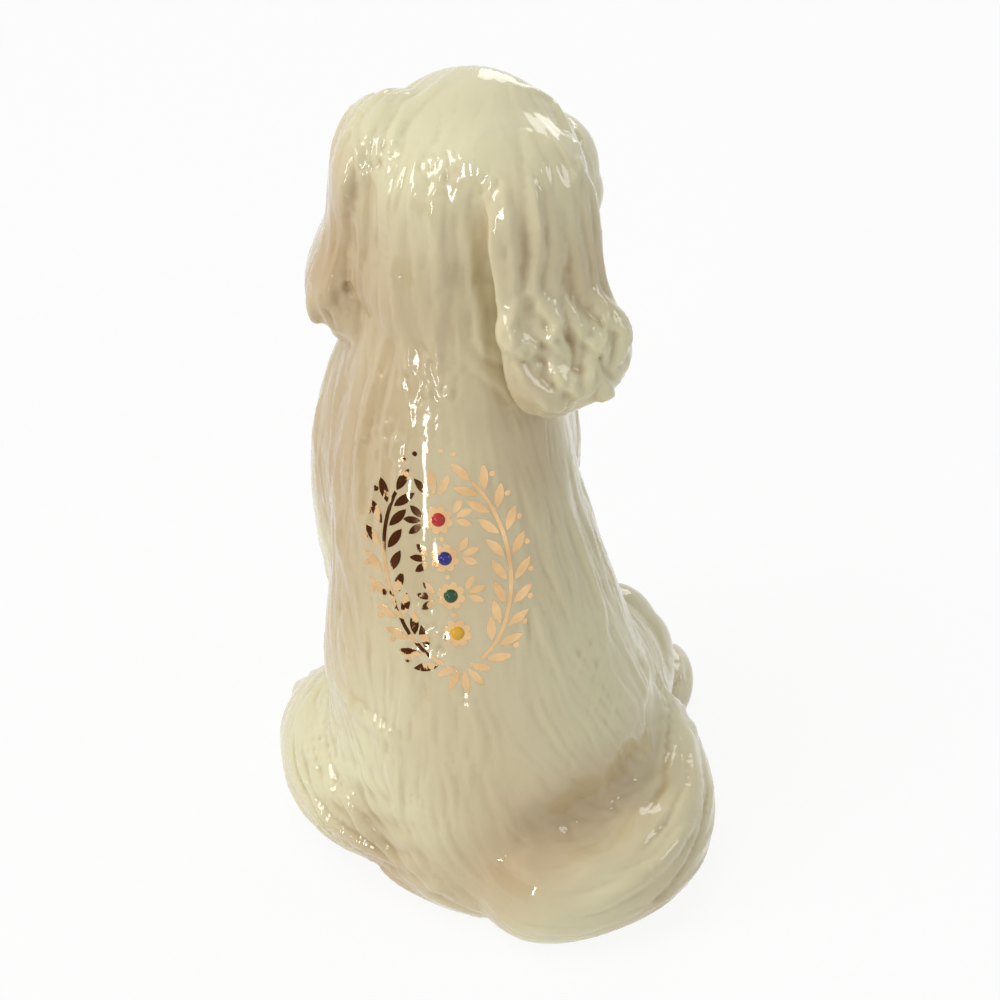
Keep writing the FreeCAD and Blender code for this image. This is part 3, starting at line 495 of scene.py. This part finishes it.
def clay_form():
    """The whole dog as one closed skin."""
    parts = [copy_of(name) for name in CASTINGS]
    parts.append(pellet(*VENT_FLOOR))
    parts += [pellet(middle, size, (lean, 0, 0)) for middle, size, lean in FILLS]
    parts += face_clay() + toes() + curls()
    clay = joined(parts)
    clay.name = "clay"
    remesh = clay.modifiers.new("remesh", "REMESH")
    remesh.mode = "VOXEL"
    remesh.voxel_size = CLAY_GRAIN * MM
    remesh.adaptivity = 0.0
    apply_modifiers(clay)
    make_active(clay)
    bpy.ops.object.mode_set(mode="EDIT")
    bpy.ops.mesh.select_all(action="SELECT")
    bpy.ops.mesh.separate(type="LOOSE")
    bpy.ops.object.mode_set(mode="OBJECT")
    shells = list(bpy.context.selected_objects)
    keep = max(shells, key=lambda shell: shell.dimensions.length)
    for shell in shells:
        if shell is not keep:
            bpy.data.objects.remove(shell)
    smooth = keep.modifiers.new("smooth", "SMOOTH")
    smooth.factor = 0.5
    smooth.iterations = 8
    apply_modifiers(keep)
    return keep


def iron(skin):
    """Works the joints of the clay smooth, and leaves the rest."""
    weight = np.zeros(len(skin.points))
    for middle, radius in IRONED:
        weight = np.maximum(weight, np.clip(soft_spot(skin.points, middle, radius) * 1.5, 0, 1))
    weight *= np.clip((skin.points[:, 2] - 1.0) / 4.0, 0, 1)
    flat = skin.spread(skin.points, IRON_ROUNDS, 0.9)
    skin.points = skin.points + (flat - skin.points) * weight[:, None]


class Skin:
    """The clay's skin as arrays, with its edges and its neighbours."""

    def __init__(self, mesh):
        count = len(mesh.vertices)
        self.points = np.empty(count * 3)
        mesh.vertices.foreach_get("co", self.points)
        self.points = self.points.reshape(-1, 3) / MM
        self.faces = np.array([tuple(p.vertices) for p in mesh.polygons])
        pairs = np.empty(len(mesh.edges) * 2, dtype=np.int64)
        mesh.edges.foreach_get("vertices", pairs)
        self.edges = pairs.reshape(-1, 2)
        self.valence = np.bincount(self.edges.ravel(), minlength=count).astype(float)

    def normals(self):
        """Each point's normal, from the faces round it."""
        corners = self.points[self.faces]
        across = np.cross(corners[:, 2] - corners[:, 0], corners[:, 3] - corners[:, 1])
        normals = np.zeros_like(self.points)
        for column in range(4):
            for axis in range(3):
                normals[:, axis] += np.bincount(self.faces[:, column], across[:, axis], len(normals))
        return normals / np.maximum(np.linalg.norm(normals, axis=1, keepdims=True), 1e-12)

    def spread(self, values, rounds, share=0.5):
        """Values, or points, averaged with their neighbours some rounds over."""
        values = np.array(values, dtype=float)
        flat = values.ndim == 1
        if flat:
            values = values[:, None]
        a, b = self.edges[:, 0], self.edges[:, 1]
        for _ in range(rounds):
            total = np.empty_like(values)
            for axis in range(values.shape[1]):
                column = values[:, axis]
                total[:, axis] = (np.bincount(a, column[b], len(column))
                                  + np.bincount(b, column[a], len(column)))
            values += share * (total / self.valence[:, None] - values)
        return values[:, 0] if flat else values


def soft_spot(points, middle, radius):
    """1 at the middle of a soft round spot, falling to 0 at its radius."""
    away = np.linalg.norm(points - np.array(middle, dtype=float), axis=1) / radius
    return np.clip(1 - away ** 2, 0, 1) ** 2


def ripple(points, length, seed):
    """A smooth, seeded field of values between about -1 and 1, its waves of about one length."""
    draws = np.random.default_rng(seed)
    total = np.zeros(len(points))
    for _ in range(7):
        way = draws.normal(size=3)
        way *= 2 * math.pi / (length * np.linalg.norm(way)) * draws.uniform(0.7, 1.4)
        total += np.sin(points @ way + draws.uniform(0, 2 * math.pi))
    return total / 2.6


def hair_ways(skin, normals):
    """The way that the hair lies at each point of the skin, and a tree of the points."""
    tree = kdtree.KDTree(len(skin.points))
    for index, point in enumerate(skin.points):
        tree.insert(point, index)
    tree.balance()
    ways = np.zeros_like(skin.points)
    for row in COMBING:
        nearest = tree.find(row[:3])[1]
        away = skin.points - skin.points[nearest]
        facing = np.clip(normals @ normals[nearest], 0, 1)
        weight = np.exp(-np.einsum("ij,ij->i", away, away) / (2 * COMB_REACH ** 2)) * (0.02 + facing ** 2)
        ways += weight[:, None] * row[3:]
    ways += 1e-9 * np.array([0, 0, -1.0])
    ways -= normals * np.einsum("ij,ij->i", ways, normals)[:, None]
    ways /= np.maximum(np.linalg.norm(ways, axis=1, keepdims=True), 1e-12)
    return ways, tree


def press(skin, normals):
    """Pushes the clay in under the thumb."""
    for middle, radius, depth in THUMBED:
        skin.points -= normals * (depth * soft_spot(skin.points, middle, radius))[:, None]


def draw(skin, tree):
    """Relief from the drawn lines."""
    relief = np.zeros(len(skin.points))
    for width, height, line in DRAWN + mouth() + toe_grooves():
        line = np.array(line, dtype=float)
        runs = np.linalg.norm(np.diff(line, axis=0), axis=1)
        ends = np.concatenate([[0], np.cumsum(runs)])
        found = {}
        for at in np.arange(0, ends[-1], 0.4):
            point = np.array([np.interp(at, ends, line[:, axis]) for axis in range(3)])
            point = skin.points[tree.find(point)[1]]
            taper = min(1.0, 4 * min(at, ends[-1] - at) / ends[-1] + 0.15)
            for _, index, away in tree.find_range(point, width / 2):
                value = (1 - (2 * away / width) ** 2) ** 2 * taper
                if value > found.get(index, 0):
                    found[index] = value
        relief[list(found)] += height * np.array(list(found.values()))
    return relief


def swayed(ways, normals, angles):
    """The ways turned about the normals."""
    aside = np.cross(normals, ways)
    return ways * np.cos(angles)[:, None] + aside * np.sin(angles)[:, None]


def comb(skin, normals, ways, tree, seeds, width, length, height, edge):
    """Relief from strands that start at the seeds and follow the hair: each a ridge, tapered, with one
    side steeper than the other."""
    relief = np.zeros(len(skin.points))
    stride = max(0.5, width * 0.45)
    for seed in seeds:
        scale = random_draws.uniform(0.65, 1.3)
        steps = max(4, int(length * scale / stride))
        reach = width * random_draws.uniform(0.75, 1.25)
        rise = height * random_draws.uniform(0.4, 1.0)
        lean = edge * random_draws.choice((-1.0, 1.0))
        point = skin.points[seed]
        at = seed
        found = {}
        for number in range(steps):
            way = ways[at]
            aside = np.cross(normals[at], way)
            along = (number + 0.5) / steps
            taper = math.sin(math.pi * along ** 0.7) ** 0.8
            half = reach * (0.35 + 0.65 * taper) / 2
            near = [hit[1] for hit in tree.find_range(point, half)]
            if near:
                away = skin.points[near] - point
                sideways = (away @ aside) / half
                profile = np.clip(1 - sideways ** 2, 0, 1) ** 1.5 * (1 + lean * sideways) * taper * rise
                for index, value in zip(near, profile):
                    if value > found.get(index, 0):
                        found[index] = value
            point = point + way * stride
            at = tree.find(point)[1]
            point = 0.5 * point + 0.5 * skin.points[at]
        if found:
            relief[list(found)] += list(found.values())
    return relief


def within(points, low, high):
    """Which points are inside a box."""
    return np.flatnonzero(((points > low) & (points < high)).all(axis=1))


def sculpt():
    """The finished skin of the dog as arrays, and the relief of its hair."""
    clay = clay_form()
    skin = Skin(clay.data)
    bpy.data.objects.remove(clay)
    iron(skin)
    press(skin, skin.spread(skin.normals(), 12))
    smooth_normals = skin.spread(skin.normals(), 12)
    smooth_normals /= np.linalg.norm(smooth_normals, axis=1, keepdims=True)
    ways, tree = hair_ways(skin, smooth_normals)
    points = skin.points
    wavy = WAVE_AMOUNT
    for middle, radius, amount in WAVY:
        wavy = wavy + amount * soft_spot(points, middle, radius)
    ways = swayed(ways, smooth_normals, wavy * ripple(points, WAVE_LENGTH, 3))
    hair = (skin, smooth_normals, ways, tree)
    total = len(points)
    locks = random_draws.choice(total, LOCKS[0], replace=False)
    strands = random_draws.choice(total, STRANDS[0], replace=False)
    fine_hairs = random_draws.choice(total, FINE_HAIRS[0], replace=False)
    relief = comb(*hair, locks, *LOCKS[1:])
    relief += comb(*hair, strands, *STRANDS[1:])
    relief -= comb(*hair, fine_hairs, *FINE_HAIRS[1:])
    feathers = random_draws.choice(within(points, *BREAST), BREAST_FEATHERS[0], replace=False)
    relief += comb(*hair, feathers, *BREAST_FEATHERS[1:])
    feathers = random_draws.choice(within(points, *LOW_SIDE), LOW_FEATHERS[0], replace=False)
    relief += comb(*hair, feathers, *LOW_FEATHERS[1:])
    relief -= skin.spread(relief, 60)
    share = np.ones(total)
    for middle, radius, left in RELIEF:
        share *= 1 + (left - 1) * np.clip(soft_spot(points, middle, radius) * 1.6, 0, 1)
    share *= np.clip((points[:, 2] - 0.8) / 3.0, 0, 1)
    crawl = np.zeros(total)
    for middle, radius in CRINKLED:
        crawl = np.maximum(crawl, soft_spot(points, middle, radius))
    crinkles = CRINKLE_HEIGHT * crawl * ripple(points, CRINKLE_LENGTH, 11)
    relief = relief * share + draw(skin, tree) + crinkles
    skin.points = points + smooth_normals * relief[:, None]
    skin.points = skin.spread(skin.points, 1, 0.5)
    low, high = np.array(cad_box[0]) / MM, np.array(cad_box[1]) / MM
    skin.points = np.clip(skin.points, low, high)
    skin.points[:, 2] = np.where(skin.points[:, 2] < 0.25, 0.0, skin.points[:, 2])
    return skin, relief


def hollows(skin, normals, relief):
    """How far the glaze is darkened in the recesses of the skin and between the strands of hair: partly by
    glaze that has pooled there, partly by painted shade.
    """
    inward = np.einsum("ij,ij->i", skin.spread(skin.points, 3, 0.6) - skin.points, normals)
    concave_pooling_and_shade = np.clip(skin.spread(inward, 2) / 0.10, 0, 1) * 0.55
    return np.clip(concave_pooling_and_shade + np.clip(-skin.spread(relief, 2) / 0.5, 0, 1) * 0.25, 0, 0.8)


def painted_shade_share(skin):
    """How much painted shade and painted warm reflected light the glaze's colour takes at each point."""
    ivory = np.ones(len(skin.points))
    for middle, radius, amount in PAINTED_SHADE_SPOTS:
        ivory *= 1 - amount * soft_spot(skin.points, middle, radius) ** 0.7
    return skin.spread(1 - ivory, 10)


# Parting the skin into its castings

def nearest_castings(points):
    """For each point, which casting of the frame it lies on."""
    corners, faces, owners = [], [], []
    for label, name in enumerate(CASTINGS):
        mesh = nodes[name].data
        start = len(corners)
        corners += [v.co / MM for v in mesh.vertices]
        faces += [[start + i for i in p.vertices] for p in mesh.polygons]
        owners += [label] * len(mesh.polygons)
    tree = BVHTree.FromPolygons(corners, faces)
    owners = np.array(owners)
    return owners[[tree.find_nearest(point)[2] for point in points]]


def neighbours(faces):
    """Pairs of faces that share an edge."""
    sides = np.concatenate([faces[:, [k, (k + 1) % 4]] for k in range(4)])
    sides = np.sort(sides, axis=1)
    owner = np.tile(np.arange(len(faces)), 4)
    key = sides[:, 0] * (sides.max() + 1) + sides[:, 1]
    order = np.argsort(key, kind="stable")
    key, owner = key[order], owner[order]
    same = key[1:] == key[:-1]
    return owner[:-1][same], owner[1:][same]


def settle(labels, pairs, rounds):
    """Labels smoothed by the vote of each face's neighbours."""
    a, b = pairs
    for _ in range(rounds):
        votes = np.zeros((len(labels), len(CASTINGS)))
        np.add.at(votes, (a, labels[b]), 1)
        np.add.at(votes, (b, labels[a]), 1)
        votes[np.arange(len(labels)), labels] += 1.5
        labels = votes.argmax(axis=1)
    return labels


def without_islands(labels, pairs):
    """Labels in which each casting is one patch: the small ones go to their neighbours."""
    a, b = pairs
    for _ in range(4):
        island = np.arange(len(labels))
        same = labels[a] == labels[b]
        x, y = a[same], b[same]
        while True:
            low = np.minimum(island[x], island[y])
            new = island.copy()
            np.minimum.at(new, x, low)
            np.minimum.at(new, y, low)
            new = new[new]
            if (new == island).all():
                break
            island = new
        sizes = np.bincount(island, minlength=len(labels))
        biggest = {label: sizes[np.unique(island[labels == label])].max() for label in np.unique(labels)}
        lost = sizes[island] < np.array([biggest[label] for label in labels])
        if not lost.any():
            break
        border = lost[a] & ~lost[b]
        labels[a[border]] = labels[b[border]]
        border = lost[b] & ~lost[a]
        labels[b[border]] = labels[a[border]]
    return labels


def build_casting(name, skin, faces, normals, fields):
    """A closed casting from its part of the skin: its open rims are turned in and filled."""
    used, local = np.unique(faces, return_inverse=True)
    mesh = bpy.data.meshes.new(name)
    mesh.from_pydata((skin.points[used] * MM).tolist(), [], local.reshape(-1, 4).tolist())
    clay = bmesh.new()
    clay.from_mesh(mesh)
    clay.verts.ensure_lookup_table()
    rim = [edge for edge in clay.edges if edge.is_boundary]
    turned = bmesh.ops.extrude_edge_only(clay, edges=rim)["geom"]
    inner = [item for item in turned if isinstance(item, bmesh.types.BMVert)]
    own_normals = [Vector(n) for n in normals[used]]
    for vert in inner:
        outer = [edge.other_vert(vert) for edge in vert.link_edges]
        outer = [v for v in outer if v.index >= 0 and v.index < len(used)]
        if outer:
            vert.co = outer[0].co - own_normals[outer[0].index] * RIM * MM
    rim = [edge for edge in clay.edges if edge.is_boundary]
    filled = bmesh.ops.holes_fill(clay, edges=rim, sides=0)["faces"]
    bmesh.ops.triangulate(clay, faces=filled)
    clay.faces.ensure_lookup_table()
    clay.normal_update()
    outward = clay.faces[0].normal.copy()
    bmesh.ops.recalc_face_normals(clay, faces=clay.faces)
    if clay.faces[0].normal.dot(outward) < 0:
        bmesh.ops.reverse_faces(clay, faces=clay.faces)
    clay.to_mesh(mesh)
    clay.free()
    for label, values in fields.items():
        layer = mesh.attributes.new(label, "FLOAT", "POINT")
        row = np.zeros(len(mesh.vertices), dtype=np.float32)
        row[:len(used)] = values[used]
        layer.data.foreach_set("value", row)
    for polygon in mesh.polygons:
        polygon.use_smooth = True
    custom = np.zeros((len(mesh.vertices), 3))
    custom[:len(used)] = normals[used]
    for vert in mesh.vertices[len(used):]:
        custom[vert.index] = vert.normal
    mesh.normals_split_custom_set_from_vertices(custom.tolist())
    return add_object(name, mesh)


# Finishes

def new_material(name):
    """A material, its node tree and its shader."""
    material = bpy.data.materials.new(name)
    material.use_nodes = True
    tree = material.node_tree
    return material, tree, tree.nodes["Principled BSDF"]


def clouds(tree, scale, detail=2.0):
    """Soft clouds on the object's own coordinates."""
    place = tree.nodes.new("ShaderNodeTexCoord")
    cloud = tree.nodes.new("ShaderNodeTexNoise")
    cloud.inputs["Scale"].default_value = scale
    cloud.inputs["Detail"].default_value = detail
    tree.links.new(place.outputs["Object"], cloud.inputs["Vector"])
    return cloud.outputs["Fac"]


def field(tree, name):
    """A field that is kept on the mesh."""
    node = tree.nodes.new("ShaderNodeAttribute")
    node.attribute_name = name
    return node.outputs["Fac"]


def mixed(tree, share, first, second):
    """A mix of a colour, or the output of another mix, with a second colour."""
    mix = tree.nodes.new("ShaderNodeMix")
    mix.data_type = "RGBA"
    tree.links.new(share, mix.inputs["Factor"])
    if isinstance(first, tuple):
        mix.inputs["A"].default_value = (*first, 1)
    else:
        tree.links.new(first, mix.inputs["A"])
    mix.inputs["B"].default_value = (*second, 1)
    return mix.outputs["Result"]


def porcelain():
    """Ivory porcelain: its colour carries painted shade and painted warm reflected light in places, and is
    darker in the recesses of the hair, partly from glaze that has pooled there and partly from painted shade.
    """
    material, tree, shader = new_material("porcelain_glaze")
    colour = mixed(tree, clouds(tree, 60, 3.0), IVORY, IVORY_CLOUD)
    # Painted shade with warm reflected light, then pooled glaze with painted shade in the recesses, are mixed
    # into the ivory
    colour = mixed(tree, field(tree, "painted_warm_shade"), colour, PAINTED_SHADE_COLOUR)
    colour = mixed(tree, field(tree, "hollow"), colour, POOLED_AND_SHADED_GLAZE)
    tree.links.new(colour, shader.inputs["Base Color"])
    bump = tree.nodes.new("ShaderNodeBump")
    bump.inputs["Strength"].default_value = 0.10
    bump.inputs["Distance"].default_value = 0.0004
    tree.links.new(clouds(tree, 420, 1.0), bump.inputs["Height"])
    tree.links.new(bump.outputs["Normal"], shader.inputs["Normal"])
    shader.inputs["Roughness"].default_value = 0.05
    shader.inputs["IOR"].default_value = 1.5
    shader.inputs["Subsurface Weight"].default_value = 0.15
    shader.inputs["Subsurface Radius"].default_value = (1.0, 0.8, 0.55)
    shader.inputs["Subsurface Scale"].default_value = 0.0015
    return material


def gold():
    """Burnished gold, fired on the glaze, with soft clouds of wear."""
    material, tree, shader = new_material("fired_gold")
    tree.links.new(mixed(tree, clouds(tree, 300), WORN_GOLD, BRIGHT_GOLD), shader.inputs["Base Color"])
    shader.inputs["Metallic"].default_value = 1.0
    shader.inputs["Roughness"].default_value = 0.07
    return material


def enamel(name, deep, clear):
    """Glossy enamel: a deep colour that clears a little in clouds."""
    material, tree, shader = new_material(name)
    tree.links.new(mixed(tree, clouds(tree, 700), deep, clear), shader.inputs["Base Color"])
    shader.inputs["Roughness"].default_value = 0.04
    return material


# Gilding and enamel on the finished skin

class Ground:
    """The finished skin, to set the gilding and the enamel on."""

    def __init__(self, skin, normals):
        self.tree = BVHTree.FromPolygons(skin.points.tolist(), skin.faces.tolist())
        self.faces = skin.faces
        self.normals = normals

    def at(self, point):
        """The nearest point of the skin, and its smooth normal."""
        spot, _, face, _ = self.tree.find_nearest(point)
        normal = Vector(self.normals[self.faces[face]].mean(axis=0)).normalized()
        return spot, normal


def laid_film(name, ground, torso_tree):
    """A motif of the gilding, laid on the finished skin as a thin film."""
    obj = copy_of(name)
    mesh = obj.data
    film = bmesh.new()
    film.from_mesh(mesh)
    for _ in range(5):
        long_edges = [edge for edge in film.edges if edge.calc_length() > FILM_EDGE * MM]
        if not long_edges:
            break
        bmesh.ops.subdivide_edges(film, edges=long_edges, cuts=1)
        bmesh.ops.triangulate(film, faces=film.faces)
    lifts, laid = [], []
    for vert in film.verts:
        point = vert.co / MM
        depth = torso_tree.find_nearest(point)[3]
        spot, normal = ground.at(point)
        lifts.append(min(depth / FILM_TOP, 1.0))
        laid.append(normal)
        vert.co = (spot + normal * (FILM_THICKNESS * lifts[-1] - FILM_FOOT)) * MM
    bmesh.ops.recalc_face_normals(film, faces=film.faces)
    film.to_mesh(mesh)
    film.free()
    for polygon in mesh.polygons:
        polygon.use_smooth = min(lifts[index] for index in polygon.vertices) > 0.5
    mesh.normals_split_custom_set_from_vertices(
        [tuple(normal) if lift > 0.5 else (0, 0, 0) for normal, lift in zip(laid, lifts)])
    obj.name = name + "_gold"
    return obj


def enamel_drop(name, ground, node):
    """A raised drop of enamel with a soft foot, set upright on the skin."""
    mesh = nodes[node].data
    middle = sum((v.co for v in mesh.vertices), Vector()) / len(mesh.vertices) / MM
    spot, normal = ground.at(middle)
    deselect()
    shape = bpy.data.meshes.new(name)
    outline = [(share * BEAD_RADIUS * MM, 0, rise * BEAD_HEIGHT * MM) for share, rise in DROP]
    shape.from_pydata(outline, [(k, k + 1) for k in range(len(DROP) - 1)], [])
    obj = add_object(name, shape)
    make_active(obj)
    bpy.ops.object.mode_set(mode="EDIT")
    bpy.ops.mesh.select_all(action="SELECT")
    bpy.ops.mesh.spin(steps=40, angle=2 * math.pi, center=(0, 0, 0), axis=(0, 0, 1))
    bpy.ops.mesh.select_all(action="SELECT")
    bpy.ops.mesh.remove_doubles(threshold=1e-6)
    bpy.ops.mesh.fill_holes(sides=0)
    bpy.ops.mesh.normals_make_consistent(inside=False)
    bpy.ops.object.mode_set(mode="OBJECT")
    turn = normal.to_track_quat("Z", "Y").to_matrix().to_4x4()
    obj.data.transform(Matrix.Translation(spot * MM) @ turn)
    for polygon in obj.data.polygons:
        polygon.use_smooth = True
    return obj


# Studio

def set_camera():
    """The camera, where the photograph was taken from."""
    data = bpy.data.cameras.new("camera")
    data.sensor_width = 36.0
    data.lens = 97.2
    data.shift_x = 0.014
    data.clip_start = 0.01
    camera = add_object("camera", data)
    turn = Matrix((CAMERA_RIGHT, CAMERA_ABOVE, CAMERA_BACK)).transposed().to_4x4()
    camera.matrix_world = Matrix.Translation(CAMERA_PLACE) @ turn
    bpy.context.scene.camera = camera


def softbox(name, place, width, height, watts):
    """A soft lamp, turned to the dog."""
    data = bpy.data.lights.new(name, "AREA")
    data.shape = "RECTANGLE"
    data.size = width
    data.size_y = height
    data.energy = watts
    lamp = add_object(name, data)
    lamp.location = place
    lamp.rotation_euler = (Vector(AIM) - Vector(place)).to_track_quat("-Z", "Y").to_euler()


def seen(tree):
    """1 where the camera, a reflection or a refraction sees the background, and 0 elsewhere."""
    path = tree.nodes.new("ShaderNodeLightPath")
    rays = path.outputs["Is Camera Ray"]
    for other in ("Is Glossy Ray", "Is Transmission Ray"):
        either = tree.nodes.new("ShaderNodeMath")
        either.operation = "MAXIMUM"
        tree.links.new(rays, either.inputs[0])
        tree.links.new(path.outputs[other], either.inputs[1])
        rays = either.outputs[0]
    return rays


def backdrop(tree, share, lit, plain, out):
    """Mixes the surface that lights and shades with the plain one that is seen, and sends it out."""
    mix = tree.nodes.new("ShaderNodeMixShader")
    tree.links.new(share, mix.inputs["Fac"])
    tree.links.new(lit.outputs[0], mix.inputs[1])
    tree.links.new(plain.outputs[0], mix.inputs[2])
    tree.links.new(mix.outputs[0], out.inputs["Surface"])


def set_world():
    """Plain soft light all round, seen as white."""
    world = bpy.data.worlds.new("studio")
    bpy.context.scene.world = world
    world.use_nodes = True
    tree = world.node_tree
    tree.nodes.clear()
    light = tree.nodes.new("ShaderNodeBackground")
    light.inputs["Color"].default_value = (1, 0.985, 0.96, 1)
    light.inputs["Strength"].default_value = 0.25
    white = tree.nodes.new("ShaderNodeBackground")
    white.inputs["Color"].default_value = (1, 1, 1, 1)
    white.inputs["Strength"].default_value = 1.0
    backdrop(tree, seen(tree), light, white, tree.nodes.new("ShaderNodeOutputWorld"))


def lay_floor():
    """A plain pale floor, white where nothing shades it."""
    deselect()
    bpy.ops.mesh.primitive_plane_add(size=6.0, location=(0, 0, 0))
    floor = bpy.context.active_object
    floor.name = "floor"
    material, tree, shader = new_material("pale_floor")
    shader.inputs["Base Color"].default_value = (0.92, 0.92, 0.92, 1)
    shader.inputs["Roughness"].default_value = 0.9
    shader.inputs["Specular IOR Level"].default_value = 0.0
    glow = tree.nodes.new("ShaderNodeEmission")
    glow.inputs["Strength"].default_value = 1.0
    share = tree.nodes.new("ShaderNodeMath")
    share.operation = "MULTIPLY"
    share.inputs[1].default_value = 0.9
    tree.links.new(seen(tree), share.inputs[0])
    backdrop(tree, share.outputs[0], shader, glow, tree.nodes["Material Output"])
    floor.data.materials.append(material)


def stand_card():
    """A dark card to the camera's left, seen only in reflections."""
    deselect()
    bpy.ops.mesh.primitive_plane_add(size=1.0, location=(0, 0, 0))
    card = bpy.context.active_object
    card.name = "card"
    place = Vector(CARD_PLACE)
    turn = (-Vector((place.x, place.y, 0))).to_track_quat("Z", "Y").to_matrix().to_4x4()
    card.data.transform(Matrix.Translation(place) @ turn @ Matrix.Diagonal((*CARD_SIZE, 1, 1)))
    material, _, shader = new_material("dark_card")
    shader.inputs["Base Color"].default_value = (0.10, 0.045, 0.025, 1)
    shader.inputs["Roughness"].default_value = 1.0
    card.data.materials.append(material)
    card.visible_camera = False
    card.visible_diffuse = False
    card.visible_shadow = False


set_camera()
set_world()
lay_floor()
for name, place, width, height, watts in LAMPS:
    softbox(name, place, width, height, watts)
# The overhead lamp lights the dog, and isn't seen in its glaze
bpy.data.objects["overhead"].visible_glossy = False
stand_card()
bpy.context.scene.view_settings.view_transform = "Standard"

# The castings

GLAZE = porcelain()
skin, relief = sculpt()
skin_normals = skin.normals()
# Fields for the glaze's painted shade with warm reflected light, and for its recesses, darkened partly by
# pooled glaze and partly by painted shade
fields = {"hollow": hollows(skin, skin_normals, relief), "painted_warm_shade": painted_shade_share(skin)}
face_middles = skin.points[skin.faces].mean(axis=1)
labels = nearest_castings(face_middles)
face_pairs = neighbours(skin.faces)
labels = settle(labels, face_pairs, 12)
labels = without_islands(labels, face_pairs)
for label, casting in enumerate(CASTINGS):
    piece = build_casting(casting + "_china", skin, skin.faces[labels == label], skin_normals,
                          fields)
    piece.data.materials.append(GLAZE)
    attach(piece, "root")
    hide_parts(casting)

# The gilding

GOLD = gold()
ground = Ground(skin, skin_normals)
torso_mesh = nodes["torso"].data
torso_tree = BVHTree.FromPolygons([v.co / MM for v in torso_mesh.vertices],
                                  [tuple(p.vertices) for p in torso_mesh.polygons])
for node in sorted(nodes):
    if node.startswith("gilt_"):
        film = laid_film(node, ground, torso_tree)
        film.data.materials.append(GOLD)
        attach(film, "root")
        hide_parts(node)

# The enamel

for colour, (deep, clear) in ENAMELS.items():
    drop = enamel_drop(f"bead_{colour}_enamel", ground, f"bead_{colour}")
    drop.data.materials.append(enamel(f"enamel_{colour}", deep, clear))
    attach(drop, "root")
    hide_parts(f"bead_{colour}")

DARK = enamel("enamel_dark", *DARK_ENAMEL)
for node in ("eye_left", "eye_right", "nose"):
    nodes[node].data.materials.clear()
    nodes[node].data.materials.append(DARK)
